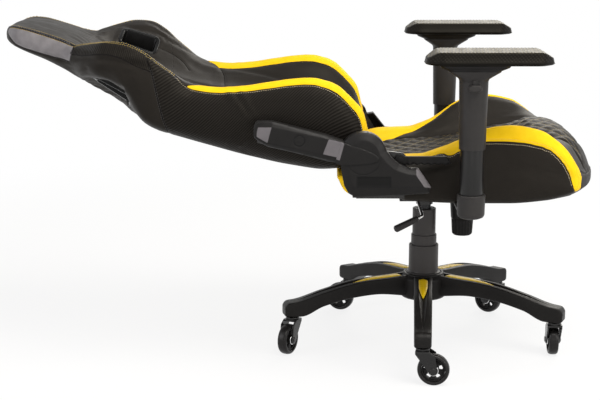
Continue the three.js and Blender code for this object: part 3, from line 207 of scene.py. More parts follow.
def joined(parts):
    """Several (points, faces) as one."""
    points, faces, start = [], [], 0
    for p, f in parts:
        points.append(np.asarray(p, float))
        faces.extend([[i + start for i in face] for face in f])
        start += len(p)
    return np.vstack(points), faces


def lathe(section, sides=64, axis_x=0.0, axis_y=0.0):
    """A body turned about an upright axis. The section is [radius, z] from one end of the axis to the other,
    or a closed loop that stays off the axis."""
    section = [tuple(p) for p in section]
    angles = np.linspace(0, 2 * math.pi, sides, endpoint=False)
    closed = section[0] == section[-1]
    ring = section[:-1] if closed else section
    points, faces, rows = [], [], []
    for r, z in ring:
        if r < 1e-6:
            rows.append([len(points)])
            points.append((axis_x, axis_y, z))
        else:
            rows.append(list(range(len(points), len(points) + sides)))
            points.extend((axis_x + r * math.cos(a), axis_y + r * math.sin(a), z) for a in angles)
    pairs = list(zip(rows[:-1], rows[1:]))
    if closed:
        pairs.append((rows[-1], rows[0]))
    for low, high in pairs:
        for k in range(sides):
            n = (k + 1) % sides
            if len(low) == 1 and len(high) == 1:
                continue
            if len(low) == 1:
                faces.append((low[0], high[n], high[k]))
            elif len(high) == 1:
                faces.append((low[k], low[n], high[0]))
            else:
                faces.append((low[k], low[n], high[n], high[k]))
    return np.array(points), faces


def rounded(section, radius, steps=4):
    """The same open or closed section with its corners rounded."""
    pts = [np.array(p, float) for p in section]
    closed = np.allclose(pts[0], pts[-1])
    if closed:
        pts = pts[:-1]
    out = []
    count = len(pts)
    for i, p in enumerate(pts):
        if not closed and i in (0, count - 1):
            out.append(p)
            continue
        a, b = pts[i - 1], pts[(i + 1) % count]
        la, lb = np.linalg.norm(a - p), np.linalg.norm(b - p)
        r = min(radius, 0.45 * la, 0.45 * lb)
        start, end = p + (a - p) / la * r, p + (b - p) / lb * r
        for t in np.linspace(0, 1, steps):
            out.append((1 - t) ** 2 * start + 2 * t * (1 - t) * p + t ** 2 * end)
    if closed:
        out.append(out[0])
    return [tuple(p) for p in out]


def arc(cx, cz, radius, start, end, steps):
    a = np.radians(np.linspace(start, end, steps + 1))
    return [(cx + radius * math.cos(t), cz + radius * math.sin(t)) for t in a]


def tube_along(points, radius, sides):
    """Round bar along points."""
    p = np.asarray(points, float)
    tangent = unit(np.gradient(p, axis=0))
    side = unit(np.cross(tangent, [0.0, 0.0, 1.0]))
    top = unit(np.cross(side, tangent))
    a = np.linspace(0, 2 * math.pi, sides, endpoint=False)[:, None]
    rings = [c + radius * (np.cos(a) * s + np.sin(a) * t) for c, s, t in zip(p, side, top)]
    return capped_tube(rings, flip=True)


def offset_outline(outline, distance):
    """A closed outline drawn in by a distance, point by point (outline runs anticlockwise)."""
    p = np.asarray(outline, float)
    before, after = unit(p - np.roll(p, 1, axis=0)), unit(np.roll(p, -1, axis=0) - p)
    normal = unit(np.stack([-(before[:, 1] + after[:, 1]), before[:, 0] + after[:, 0]], axis=1))
    turn = np.clip((before * after).sum(1), -1, 1)
    stretch = 1 / np.maximum(np.sqrt((1 + turn) / 2), 0.6)
    return p + normal * (distance * stretch)[:, None]


def area_sign(outline):
    p = np.asarray(outline, float)
    q = np.roll(p, -1, axis=0)
    return np.sign((p[:, 0] * q[:, 1] - q[:, 0] * p[:, 1]).sum())


def resampled(outline, spacing):
    """A closed outline, anticlockwise, with points about a spacing apart along each of its edges."""
    p = np.asarray(outline, float)
    if area_sign(p) < 0:
        p = p[::-1]
    out = []
    for a, b in zip(p, np.roll(p, -1, axis=0)):
        n = max(1, int(round(np.linalg.norm(b - a) / spacing)))
        out.extend(a + (b - a) * t for t in np.arange(n) / n)
    return np.array(out)


def outline_distance(points, outline):
    """Distance from points to a closed outline."""
    p = np.asarray(outline, float)
    best = np.full(len(points), 1e9)
    for a, b in zip(p, np.roll(p, -1, axis=0)):
        d = b - a
        t = np.clip(((points - a) @ d) / max(d @ d, 1e-9), 0, 1)
        best = np.minimum(best, np.linalg.norm(points - (a + t[:, None] * d), axis=1))
    return best


def within(px, pz, polygon):
    """Which points lie inside a closed polygon."""
    inside = np.zeros(px.shape, bool)
    polygon = np.asarray(polygon, float)
    for (ax, az), (bx, bz) in zip(polygon, np.roll(polygon, -1, axis=0)):
        cross = (az > pz) != (bz > pz)
        inside ^= cross & (px < (bx - ax) * (pz - az) / (bz - az if bz != az else 1e-9) + ax)
    return inside


def filled(outline, spacing):
    """Triangles over the inside of a closed outline, with a grid of points inside: the points, of which the
    outline's own come first, the triangles, and how many points the outline has."""
    p = np.asarray(outline, float)
    low, high = p.min(0), p.max(0)
    gx, gy = np.meshgrid(np.arange(low[0] + spacing, high[0], spacing),
                         np.arange(low[1] + spacing, high[1], spacing))
    grid = np.stack([gx.ravel(), gy.ravel()], axis=1)
    inside = within(grid[:, 0], grid[:, 1], p) & (outline_distance(grid, p) > spacing * 0.5)
    points = np.vstack([p, grid[inside]])
    edges = [(i, (i + 1) % len(p)) for i in range(len(p))]
    out, _, tris, *_ = delaunay_2d_cdt([Vector(v) for v in points], edges, [], 1, 1e-6)
    return np.array([tuple(v) for v in out]), [tuple(t) for t in tris], len(p)


def fill_faces(tris, points, count, rim_start, start):
    """Triangles of a filled outline, whose own points stand at rim_start and the others at start."""
    index = list(range(rim_start, rim_start + count)) + list(range(start, start + len(points) - count))
    return [tuple(index[i] for i in f) for f in tris]


def soft_rectangle(length, width, corner, z, count=48, cx=0.0, cy=0.0):
    """Ring of a rectangle with round corners."""
    corner = min(corner, length / 2 - 0.01, width / 2 - 0.01)
    points = []
    for sx, sy, start in ((1, 1, 0), (-1, 1, 90), (-1, -1, 180), (1, -1, 270)):
        points += arc(sx * (length / 2 - corner), sy * (width / 2 - corner), corner, start, start + 90, 8)
    closed = np.array(points + points[:1])
    reach = lengths_along(closed)
    flat = at_lengths(np.linspace(0, reach[-1], count, endpoint=False), reach, closed)
    return np.column_stack([flat + [cx, cy], np.full(count, z)])


def stitch_run(points, normals, pitch=4.6, length=3.3, radius=0.5, sink=0.15):
    """Thread stitches laid along a line on a surface: (points, faces)."""
    p, n = np.asarray(points, float), unit(np.asarray(normals, float))
    reach = lengths_along(p)
    centres = np.arange(pitch / 2, reach[-1] - pitch / 2, pitch)
    up = unit(at_lengths(centres, reach, n))
    middle = at_lengths(centres, reach, p)
    along = unit(at_lengths(centres + length / 2, reach, p) - at_lengths(centres - length / 2, reach, p))
    side = unit(np.cross(up, along))
    up = unit(np.cross(along, side))
    base = middle + up * (radius - sink)
    out, faces = [], []
    shape = [(-0.5, 0.0, -1.3), (-0.36, 0.8, -0.25), (0.0, 1.0, 0.0), (0.36, 0.8, -0.25), (0.5, 0.0, -1.3)]
    for c, a, s, u in zip(base, along, side, up):
        first = len(out)
        for share, wide, sunk in shape:
            centre = c + a * share * length + u * sunk * radius
            if wide == 0:
                out.append(centre)
            else:
                out += [centre + radius * wide * (math.cos(t) * s + math.sin(t) * u)
                        for t in (0, math.pi / 2, math.pi, 3 * math.pi / 2)]
        rings = [first, *range(first + 1, first + 13, 4), first + 13]
        for k in range(4):
            m = (k + 1) % 4
            faces.append((rings[0], rings[1] + m, rings[1] + k))
            faces += [(a + k, a + m, b + m, b + k) for a, b in (rings[1:3], rings[2:4])]
            faces.append((rings[3] + k, rings[3] + m, rings[4]))
    return np.array(out), faces


# ------------------------------------------------------------------ materials

class Look:
    """A material under construction: a Principled shader and short names for the nodes that feed it."""

    def __init__(self, name, color, roughness, metallic=0.0, specular=0.5, coat=0.0, coat_roughness=0.1,
                 tint=None, sheen=0.0):
        self.material = bpy.data.materials.new(name)
        self.material.use_nodes = True
        self.tree = self.material.node_tree
        self.tree.nodes.clear()
        self.bsdf = self.tree.nodes.new("ShaderNodeBsdfPrincipled")
        out = self.tree.nodes.new("ShaderNodeOutputMaterial")
        self.tree.links.new(self.bsdf.outputs["BSDF"], out.inputs["Surface"])
        self.set("Base Color", (*color, 1))
        self.set("Roughness", roughness)
        self.set("Metallic", metallic)
        self.set("Specular IOR Level", specular)
        if coat:
            self.set("Coat Weight", coat)
            self.set("Coat Roughness", coat_roughness)
        if tint:
            self.set("Specular Tint", (*tint, 1))
        if sheen:
            self.set("Sheen Weight", sheen)
        self.coordinates = self.tree.nodes.new("ShaderNodeTexCoord").outputs["Object"]

    def set(self, socket, value):
        if isinstance(value, bpy.types.NodeSocket):
            self.tree.links.new(value, self.bsdf.inputs[socket])
        else:
            self.bsdf.inputs[socket].default_value = value

    def node(self, kind, output=0, properties=None, **inputs):
        made = self.tree.nodes.new(kind)
        for key, value in (properties or {}).items():
            setattr(made, key, value)
        for key, value in inputs.items():
            numbered = key[0] == "_" and key[1:].isdigit()
            socket = made.inputs[int(key[1:]) if numbered else key.replace("_", " ")]
            if isinstance(value, bpy.types.NodeSocket):
                self.tree.links.new(value, socket)
            else:
                socket.default_value = value
        return made.outputs[output]

    def math(self, operation, a, b=0.0, clamp=False):
        return self.node("ShaderNodeMath", 0, {"operation": operation, "use_clamp": clamp}, _0=a, _1=b)

    def add(self, a, b, clamp=False):
        return self.math("ADD", a, b, clamp)

    def times(self, a, b):
        return self.math("MULTIPLY", a, b)

    def part(self, vector, axis):
        return self.node("ShaderNodeSeparateXYZ", axis, Vector=vector)

    def attribute(self, name, output="Fac"):
        return self.node("ShaderNodeAttribute", output, {"attribute_name": name})

    def noise(self, scale, detail=2.0, roughness=0.5, vector=None):
        return self.node("ShaderNodeTexNoise", "Fac", Vector=vector or self.coordinates, Scale=scale,
                         Detail=detail, Roughness=roughness)

    def cells(self, scale):
        return self.node("ShaderNodeTexVoronoi", "Distance", Vector=self.coordinates, Scale=scale)

    def ranged(self, value, low, high, to_low=0.0, to_high=1.0, kind="LINEAR"):
        return self.node("ShaderNodeMapRange", "Result", {"interpolation_type": kind}, Value=value,
                         **{"From_Min": low, "From_Max": high, "To_Min": to_low, "To_Max": to_high})

    def mix(self, share, a, b):
        """Colours a and b mixed."""
        made = self.tree.nodes.new("ShaderNodeMix")
        made.data_type = "RGBA"
        for key, value in ((0, share), (6, a), (7, b)):
            if isinstance(value, bpy.types.NodeSocket):
                self.tree.links.new(value, made.inputs[key])
            else:
                made.inputs[key].default_value = value if key == 0 else (*value, 1)
        return made.outputs[2]

    def bump(self, height, distance, strength=1.0):
        """Height is a value from 0 to 1; distance is what 1 stands for, in metres."""
        self.set("Normal", self.node("ShaderNodeBump", "Normal", Strength=strength, Distance=distance,
                                     Height=height))

    def wave(self, value, period):
        """0 to 1 and back once in each period."""
        turn = self.times(value, 2 * math.pi / period)
        return self.add(self.times(self.math("SINE", turn), 0.5), 0.5)


BLACK_LEATHER = (0.0105, 0.0092, 0.0082)
WARM = (1.0, 0.93, 0.8)
SEAMS = 5  # seams of a cushion that don't part two colours


def upholstery_look():
    """Coated fabric. Attributes carry the layout in millimetres: how far inside the yellow trim a point is, how
    far from a seam, and the place along the cloth."""
    look = Look("coated_fabric", BLACK_LEATHER, 0.45, specular=0.08, tint=WARM)
    yellow = look.ranged(look.attribute("trim"), -0.25, 0.25)
    carbon = look.ranged(look.attribute("carbon"), -2.0, 2.0)
    pale = look.ranged(look.attribute("pale"), -1.5, 1.5)
    tape = look.ranged(look.attribute("tape"), -0.5, 0.5)
    seam = look.math("MINIMUM", look.math("ABSOLUTE", look.attribute("trim")),
                     look.math("ABSOLUTE", look.attribute("carbon")))
    seam = look.math("MINIMUM", seam, look.math("ABSOLUTE", look.attribute("pale")))
    for number in range(1, SEAMS + 1):
        place = look.attribute(f"seam_{number}", "Vector")
        aside = look.math("ABSOLUTE", look.part(place, "X"))
        past = look.part(place, "Y")
        seam = look.math("MINIMUM", seam, look.add(aside, look.times(past, 2.0)))
    sew = look.attribute("sew", "Vector")
    u = look.part(sew, "X")
    v = look.part(sew, "Y")
    # twill of the carbon-look cloth: slanting ribs, broken by the crossing threads
    slant = look.add(look.times(u, 0.80), look.times(v, 0.60))
    ribs = look.wave(slant, 4.9)
    cross = look.wave(look.math("SUBTRACT", look.times(u, 0.6), look.times(v, 0.8)), 2.6)
    twill = look.times(ribs, look.ranged(cross, 0, 1, 0.75, 1.0))
    fine_weave = look.times(look.wave(u, 2.4), look.wave(v, 2.4))
    blotch = look.noise(14, 4)
    soft = look.noise(55, 3)
    black = look.mix(look.ranged(blotch, 0.3, 0.7), (0.0128, 0.0112, 0.0097), (0.0165, 0.0145, 0.0127))
    carbon_black = look.mix(twill, (0.0040, 0.0034, 0.0029), (0.0180, 0.0160, 0.0142))
    pale_grey = look.mix(look.ranged(soft, 0.3, 0.7), (0.16, 0.152, 0.158), (0.215, 0.205, 0.212))
    gold = look.mix(fine_weave, (0.84, 0.52, 0.004), (0.95, 0.62, 0.02))
    gold = look.mix(look.ranged(soft, 0.35, 0.75), gold, (0.92, 0.59, 0.012))
    color = look.mix(carbon, black, carbon_black)
    color = look.mix(pale, color, pale_grey)
    color = look.mix(yellow, color, gold)
    in_seam = look.ranged(seam, 0.35, 0.95, 1.0, 0.0)
    color = look.mix(tape, color, (0.0045, 0.0042, 0.0085))
    color = look.mix(in_seam, color, (0.005, 0.0045, 0.0055))
    look.set("Base Color", color)
    rough = look.ranged(soft, 0.2, 0.8, 0.42, 0.52)
    rough = look.math("SUBTRACT", rough, look.times(carbon, look.ranged(twill, 0, 1, 0.0, 0.12)))
    rough = look.add(rough, look.times(yellow, 0.1))
    look.set("Roughness", look.add(rough, look.times(in_seam, 0.2), clamp=True))
    grain = look.add(look.times(look.cells(620), 0.5), look.times(look.noise(420, 3), 0.5))
    folds = look.times(look.noise(26, 3, 0.55), 2.0)
    weave = look.times(twill, look.times(carbon, 2.2))
    gold_weave = look.times(fine_weave, look.times(yellow, 1.2))
    groove = look.times(look.ranged(seam, 0.0, 1.6, 0.0, 1.0, "SMOOTHSTEP"), 3.0)
    height = look.add(look.add(grain, folds), look.add(weave, gold_weave))
    look.bump(look.add(height, groove), 0.00028, 0.8)
    return look.material


def grained_look(name, low, high, roughness, grain=900, depth=0.00012, specular=0.2):
    """Moulded plastic with a fine spark-eroded grain, and handling marks that change the gloss."""
    look = Look(name, low, roughness, specular=specular)
    blotch = look.noise(18, 4)
    look.set("Base Color", look.mix(look.ranged(blotch, 0.3, 0.7), low, high))
    rub = look.noise(60, 5, 0.65)
    look.set("Roughness", look.ranged(rub, 0.25, 0.75, roughness - 0.05, roughness + 0.08))
    height = look.add(look.times(look.noise(grain, 2), 0.7), look.times(look.cells(grain * 0.8), 0.3))
    look.bump(height, depth, 0.7)
    return look.material


def painted_look(name, color, roughness, coat=0.3):
    """Painted steel: faint orange peel under a clear gloss."""
    look = Look(name, color, roughness, specular=0.3, coat=coat, coat_roughness=0.08)
    peel = look.noise(240, 2)
    dust = look.noise(700, 4, 0.7)
    high = tuple(c * 1.6 + 0.002 for c in color)
    look.set("Base Color", look.mix(look.ranged(dust, 0.45, 0.7), color, high))
    look.set("Roughness", look.ranged(look.noise(30, 4), 0.3, 0.7, roughness, roughness + 0.12))
    look.bump(peel, 0.00006, 0.6)
    return look.material


def steel_look(name, color=(0.62, 0.61, 0.6), roughness=0.22):
    """Bright zinc with drawn scratches."""
    look = Look(name, color, roughness, metallic=1.0)
    streaks = look.noise(320, 3, vector=look.node("ShaderNodeMapping", "Vector", Vector=look.coordinates,
                                                  Scale=(1, 8, 8)))
    look.set("Roughness", look.ranged(streaks, 0.3, 0.7, roughness - 0.06, roughness + 0.1))
    look.set("Base Color", look.mix(look.ranged(look.noise(40, 4), 0.35, 0.7), color,
                                    tuple(c * 0.8 for c in color)))
    look.bump(streaks, 0.00003, 0.5)
    return look.material


def thread_look(name, color, dark):
    """Twisted sewing thread."""
    look = Look(name, color, 0.7, specular=0.3, sheen=0.2)
    twist = look.noise(1600, 2)
    look.set("Base Color", look.mix(look.ranged(twist, 0.3, 0.7), dark, color))
    look.bump(twist, 0.0001, 0.6)
    return look.material


RIB_PITCH, RIB_SLANT = 6.8, -0.09  # of an armrest pad's ribs: mm from one to the next, and X for each Y


def pad_look():
    """Moulded polyurethane: ribs over the top and a slanting hatch round the sides, smooth at the foot.
    Faces that look up are painted a far lighter, warm colour: a painted highlight of the overhead light,
    striped light and dark along the ribs as painted light and shade.
    """
    look = Look("armrest_polyurethane", (0.033, 0.03, 0.027), 0.5, specular=0.1, tint=(1.0, 0.94, 0.78))
    x, y, up = (look.part(look.coordinates, axis) for axis in "XYZ")
    foot = look.ranged(up, 0.6515, 0.6535)
    hatch = look.wave(look.add(x, look.times(up, 0.85)), 0.0068)
    cross = look.wave(look.math("SUBTRACT", x, look.times(up, 1.2)), 0.0068)
    hatch = look.times(look.times(hatch, cross), foot)
    # painted highlight: how far a face looks up decides how much of the light top colour it gets
    level = look.part(look.node("ShaderNodeNewGeometry", "Normal"), "Z")
    flat = look.ranged(level, 0.72, 0.82)
    ribs = look.wave(look.add(x, look.times(y, RIB_SLANT)), RIB_PITCH * MM)
    side = look.mix(hatch, (0.0032, 0.0028, 0.0026), (0.0136, 0.0122, 0.0111))
    # painted highlight and shade: light warm stripes on the ribs, darker ones between them
    top = look.mix(ribs, (0.0085, 0.0069, 0.0040), (0.070, 0.0595, 0.0360))
    look.set("Base Color", look.mix(flat, side, top))
    soft = look.noise(60, 4, 0.6)
    look.set("Roughness", look.ranged(soft, 0.3, 0.7, 0.42, 0.54))
    relief = look.times(hatch, look.math("SUBTRACT", 1.0, flat))
    height = look.add(look.times(look.noise(900, 2), 0.3), look.times(relief, 2.0))
    look.bump(height, 0.0002, 0.8)
    return look.material


UPHOLSTERY = upholstery_look()
NYLON = grained_look("filled_nylon", (0.0072, 0.0066, 0.0062), (0.0108, 0.0099, 0.0093), 0.40, 700,
                     0.00014, 0.13)
ARM_PLASTIC = grained_look("armrest_plastic", (0.0250, 0.0235, 0.0230), (0.0310, 0.0290, 0.0285), 0.42, 900,
                           0.0001, 0.15)
DARK_PLASTIC = grained_look("dark_plastic", (0.0075, 0.0071, 0.0070), (0.011, 0.0103, 0.0102), 0.38, 900,
                            0.0001, 0.13)
GLOSS_PLASTIC = grained_look("gloss_plastic", (0.0035, 0.0034, 0.0034), (0.0055, 0.0053, 0.0052), 0.2, 500,
                             0.00003, 0.12)
COLUMN_PLASTIC = grained_look("column_plastic", (0.036, 0.033, 0.0325), (0.043, 0.040, 0.039), 0.38, 900,
                              0.00008, 0.2)
INLAY_PLASTIC = grained_look("inlay_plastic", (0.86, 0.56, 0.003), (0.96, 0.66, 0.006), 0.36, 600, 0.00005)
TYRE = grained_look("castor_polyurethane", (0.0085, 0.008, 0.0075), (0.013, 0.012, 0.012), 0.3, 600, 0.00006)
FORK_PAINT = painted_look("castor_paint", (0.0045, 0.0042, 0.004), 0.24, 0.12)
FRAME_PAINT = painted_look("frame_paint", (0.012, 0.0112, 0.0105), 0.38)
POST_PAINT = painted_look("post_paint", (0.0035, 0.0032, 0.0030), 0.32, 0.1)
PISTON_PAINT = painted_look("piston_paint", (0.005, 0.005, 0.005), 0.3, 0.1)
ZINC = steel_look("bright_zinc")
CHROME = steel_look("chromed_ring", (0.75, 0.75, 0.75), 0.12)
YELLOW_THREAD = thread_look("yellow_thread", (0.85, 0.62, 0.16), (0.55, 0.38, 0.07))
WHITE_THREAD = thread_look("pale_thread", (0.72, 0.62, 0.42), (0.45, 0.38, 0.22))
BLACK_THREAD = thread_look("black_thread", (0.012, 0.011, 0.011), (0.005, 0.005, 0.005))
QUILT_THREAD = thread_look("quilting_thread", (0.42, 0.31, 0.10), (0.22, 0.16, 0.05))
LACING = thread_look("head_lacing_cord", (0.05, 0.047, 0.05), (0.02, 0.019, 0.02))
PAD_LOOK = pad_look()


# ------------------------------------------------------------------ cushion skins

class Skin:
    """Half of a cushion's skin as a grid of points. Rows are places along the cushion. Columns run from the
    middle of its underside, round its side and over the bolster, to the middle of its top. around is the
    distance from the bolster's crest along the skin, positive towards the middle of the top."""

    def __init__(self, places, section, counts, crest=7):
        self.places = np.asarray(places, float)
        knots = section(self.places)
        mirror = np.array([1, -1, 1])
        e = np.concatenate([knots[:, 1:2] * mirror, knots, knots[:, -2:-1] * mirror], axis=1)
        gap = np.maximum(np.linalg.norm(np.diff(e, axis=1), axis=2), 0.01)[..., None] ** 0.5
        step = np.diff(e, axis=1)
        slope = (step[:, :-1] / gap[:, :-1] - (e[:, 2:] - e[:, :-2]) / (gap[:, :-1] + gap[:, 1:])
                 + step[:, 1:] / gap[:, 1:])
        u = np.concatenate([i + np.arange(n) / n for i, n in enumerate(counts)] + [[len(counts)]])
        i = np.minimum(u.astype(int), len(counts) - 1)
        f = (u - i)[None, :, None]
        h = gap[:, i + 1]
        a, b, ma, mb = e[:, i + 1], e[:, i + 2], slope[:, i] * h, slope[:, i + 1] * h
        self.points = ((2 * f ** 3 - 3 * f ** 2 + 1) * a + (f ** 3 - 2 * f ** 2 + f) * ma
                       + (3 * f ** 2 - 2 * f ** 3) * b + (f ** 3 - f ** 2) * mb)
        self.crest = int(sum(counts[:crest]))
        steps = np.linalg.norm(np.diff(self.points, axis=1), axis=2)
        reach = np.concatenate([np.zeros((len(places), 1)), np.cumsum(steps, axis=1)], axis=1)
        self.around = reach - reach[:, self.crest:self.crest + 1]
        self.along = np.broadcast_to(self.places[:, None], self.around.shape)
        self.shape = self.around.shape

    def normals(self, points=None):
        p = self.points if points is None else points
        n = np.cross(np.gradient(p, axis=0), np.gradient(p, axis=1))
        middle = p[:, self.crest] - p.mean(axis=1)
        if (n[:, self.crest] * middle).sum() < 0:
            n = -n
        return unit(n)

    def sample(self, field, s, t):
        """Values of a field at places s, t along and around."""
        s, t = np.atleast_1d(np.asarray(s, float)), np.atleast_1d(np.asarray(t, float))
        rows = np.interp(s, self.places, np.arange(len(self.places)))
        low = np.clip(rows.astype(int), 0, len(self.places) - 2)
        out = []
        for r, i, at in zip(rows, low, t):
            ends = []
            for k in (i, i + 1):
                c = float(np.interp(at, self.around[k], np.arange(self.shape[1])))
                j = min(int(c), self.shape[1] - 2)
                ends.append(field[k, j] + (field[k, j + 1] - field[k, j]) * (c - j))
            out.append(ends[0] + (ends[1] - ends[0]) * (r - i))
        return np.array(out)

    def line(self, places, step=3.0):
        """Smooth line on the skin through s, t places: (places, points)."""
        rough = np.asarray(places, float)
        length = np.linalg.norm(np.diff(rough, axis=0), axis=1).sum()
        fine = spline(rough, max(3, int(length / step)))
        return fine, self.sample(self.points, fine[:, 0], fine[:, 1])

    def row(self, place):
        """Number of the row nearest to a place."""
        return int(np.argmin(abs(self.places - place)))

    def reach_across(self, place, y):
        """How far round the skin a distance from the middle line is reached, on the inside of the crest."""
        k = self.row(place)
        return np.interp(-y, -self.points[k, self.crest:, 1], self.around[k, self.crest:])

    def reach_up(self, place, height, columns):
        """How far round the skin a height is first reached, within a slice of its columns."""
        k = self.row(place)
        return np.interp(height, np.maximum.accumulate(self.points[k, columns, 2]), self.around[k, columns])


def distance_to(points, line, normals=None):
    """Distance to a line on the skin. With normals it is signed and counts the line as running on past its
    ends, and the second value is how far past an end a point lies."""
    p = points.reshape(-1, 3)
    n = None if normals is None else normals.reshape(-1, 3)
    best = np.full(len(p), 1e9)
    side, beyond = np.zeros(len(p)), np.zeros(len(p))
    last = len(line) - 2
    for k, (a, b) in enumerate(zip(line[:-1], line[1:])):
        d = b - a
        length = max(np.linalg.norm(d), 1e-6)
        raw = (p - a) @ d / length ** 2
        t = np.clip(raw, 0 if (k or n is None) else -1e3, 1 if (k < last or n is None) else 1e3)
        offset = p - (a + t[:, None] * d)
        distance = np.linalg.norm(offset, axis=1)
        nearer = distance < best
        best = np.where(nearer, distance, best)
        if n is not None:
            side = np.where(nearer, np.sign((np.cross(d, offset) * n).sum(1)), side)
            over = np.maximum(np.maximum(-raw, raw - 1), 0) * length
            over = over if k in (0, last) else np.zeros(len(p))
            beyond = np.where(nearer, over, beyond)
    if n is None:
        return best.reshape(points.shape[:-1])
    return (best * side).reshape(points.shape[:-1]), beyond.reshape(points.shape[:-1])


def ripple(x, y, seed=0.0):
    """Smooth irregular waves between about -1 and 1."""
    a = np.sin(x * 1.00 + 2.1 * np.sin(y * 0.61 + seed) + seed * 1.7)
    b = np.sin(y * 1.13 + 1.7 * np.sin(x * 0.53 - seed * 2.3) + seed * 3.1)
    c = np.sin(x * 1.9 - y * 1.4 + 1.3 * np.sin(x * 0.7 + y * 0.9 + seed))
    return (a + b + 0.6 * c) / 2.2


def full_skin(half):
    """The whole grid from the half on the +Y side: the two middle columns are shared."""
    other = half[:, -2:0:-1].copy()
    if half.ndim == 3 and half.shape[2] == 3:
        other[..., 1] *= -1
    return np.concatenate([half, other], axis=1)


def close_ends(points, caps):
    """Adds shrinking rings at each end: caps holds (first, last) lists of (step along, height share, width
    share)."""
    rows, counts = [points], [0, 0]
    for end, rings in enumerate(caps):
        edge = points[0] if end == 0 else points[-1]
        middle = np.array([edge[:, 0].mean(), 0, (edge[:, 2].max() + edge[:, 2].min()) / 2])
        for step, tall, wide in rings:
            ring = (edge - middle) * np.array([1, wide, tall]) + middle + np.array([step, 0, 0])
            if end == 0:
                rows.insert(0, ring[None])
            else:
                rows.append(ring[None])
            counts[end] += 1
    return np.concatenate(rows), counts


def cushion_faces(rows, columns):
    """Quads of the closed skin, with the flat ring at each end zipped from its underside to its top."""
    faces = grid_faces(rows, columns).tolist()
    half = columns // 2
    for first in (0, (rows - 1) * columns):
        for k in range(half // 2):
            quad = [k, k + 1, half - k - 1, half - k]
            if quad[1] == quad[2]:
                quad.pop(2)
            faces.append([first + j for j in quad])
            faces.append([first + (columns - j) % columns for j in reversed(quad)])
    return faces


def set_attribute(mesh, key, values):
    """One number for each vertex, or up to three, for a material to read."""
    values = np.asarray(values, np.float32).reshape(len(mesh.vertices), -1)
    if values.shape[1] == 1:
        mesh.attributes.new(key, "FLOAT", "POINT").data.foreach_set("value", values.ravel())
    else:
        wide = np.zeros((len(values), 3), np.float32)
        wide[:, :values.shape[1]] = values
        mesh.attributes.new(key, "FLOAT_VECTOR", "POINT").data.foreach_set("vector", wide.ravel())


def skin_object(name, skin, half_points, attributes, caps, place, material):
    """The whole cushion: both halves, closed ends, and the layout attributes that its material reads."""
    points = full_skin(half_points)
    closed, (before, after) = close_ends(points, caps)
    rows, columns = closed.shape[:2]
    obj = make_object(name, place(closed.reshape(-1, 3)), cushion_faces(rows, columns), material)
    far = np.full(skin.shape + (2,), 99.0)
    attributes = {**{f"seam_{n}": far for n in range(1, SEAMS + 1)}, **attributes}
    for key, half in attributes.items():
        values = half if half.ndim == 3 else half[..., None]
        whole = np.concatenate([values, values[:, -2:0:-1]], axis=1)
        whole = np.concatenate([np.repeat(whole[:1], before, 0), whole, np.repeat(whole[-1:], after, 0)])
        set_attribute(obj.data, key, whole.reshape(-1, whole.shape[2]))
    return obj


SETTLING = 3.0  # most that a simulated cover may move


def sit(half_points, pinned):
    """Lets a cushion's cover settle under its filling's pressure, and returns how far each point of the half skin
    moved. Seams are pinned."""
    rows = np.unique(np.append(np.arange(0, len(half_points), 2), len(half_points) - 1))
    columns = np.unique(np.append(np.arange(0, half_points.shape[1], 2), half_points.shape[1] - 1))
    coarse = half_points[rows][:, columns]
    whole = full_skin(coarse)
    count_rows, count_columns = whole.shape[:2]
    obj = make_object("settling", whole.reshape(-1, 3), cushion_faces(count_rows, count_columns), [])
    group = obj.vertex_groups.new(name="sewn")
    held = pinned[rows][:, columns]
    held = np.concatenate([held, held[:, -2:0:-1]], axis=1)
    held[0] = held[-1] = 1
    for weight in (1.0, 0.6):
        chosen = np.nonzero((held.ravel() >= weight) & (held.ravel() < weight + 0.4))[0]
        if len(chosen):
            group.add([int(i) for i in chosen], weight, "REPLACE")
    cloth = obj.modifiers.new("settle", "CLOTH")
    settings = cloth.settings
    settings.quality = 5
    settings.mass = 0.3
    settings.tension_stiffness = settings.compression_stiffness = 18
    settings.shear_stiffness = 8
    settings.bending_stiffness = 0.6
    settings.use_pressure = True
    settings.uniform_pressure_force = 4.0
    settings.vertex_group_mass = "sewn"
    settings.effector_weights.gravity = 0.0
    cloth.collision_settings.use_collision = False
    cloth.collision_settings.use_self_collision = False
    cloth.point_cache.frame_start, cloth.point_cache.frame_end = 1, 20
    before = np.array([v.co for v in obj.data.vertices])
    for number in range(1, 21):
        bpy.context.scene.frame_set(number)
    graph = bpy.context.evaluated_depsgraph_get()
    solved = obj.evaluated_get(graph).data
    after = np.array([v.co for v in solved.vertices])
    bpy.context.scene.frame_set(1)
    move = ((after - before) / MM).reshape(count_rows, count_columns, 3)[:, :len(columns)]
    size = np.linalg.norm(move, axis=2, keepdims=True)
    move = move * np.minimum(1, SETTLING / np.maximum(size, 1e-6))
    bpy.data.objects.remove(obj, do_unlink=True)
    # back on to the fine grid
    fine = np.zeros((len(rows), half_points.shape[1], 3))
    for axis in range(3):
        for i in range(len(rows)):
            fine[i, :, axis] = np.interp(np.arange(half_points.shape[1]), columns, move[i, :, axis])
    whole = np.zeros_like(half_points)
    for axis in range(3):
        for j in range(half_points.shape[1]):
            whole[:, j, axis] = np.interp(np.arange(len(half_points)), rows, fine[:, j, axis])
    return whole


DIAMOND_LONG, DIAMOND_WIDE = 36.0, 44.0  # of the quilting, along and across a cushion
QUILT_STITCH = {"pitch": 4.4, "length": 2.9, "radius": 0.34, "sink": -0.12}


def diamonds(along, across):
    """Distance to the quilting's nearest line."""
    a, b = along / DIAMOND_LONG, across / DIAMOND_WIDE
    reach = 1 / math.hypot(1 / DIAMOND_LONG, 1 / DIAMOND_WIDE)
    return np.minimum(abs((a + b + 0.5) % 1 - 0.5), abs((a - b + 0.5) % 1 - 0.5)) * reach


def pillows(diamond, height):
    """Rise of the padding between the quilting's lines, half of it below the plain surface."""
    return height * (1 - bump(diamond, 4.2)) * (0.55 + 0.45 * smooth(diamond, 2, 12)) - height / 2


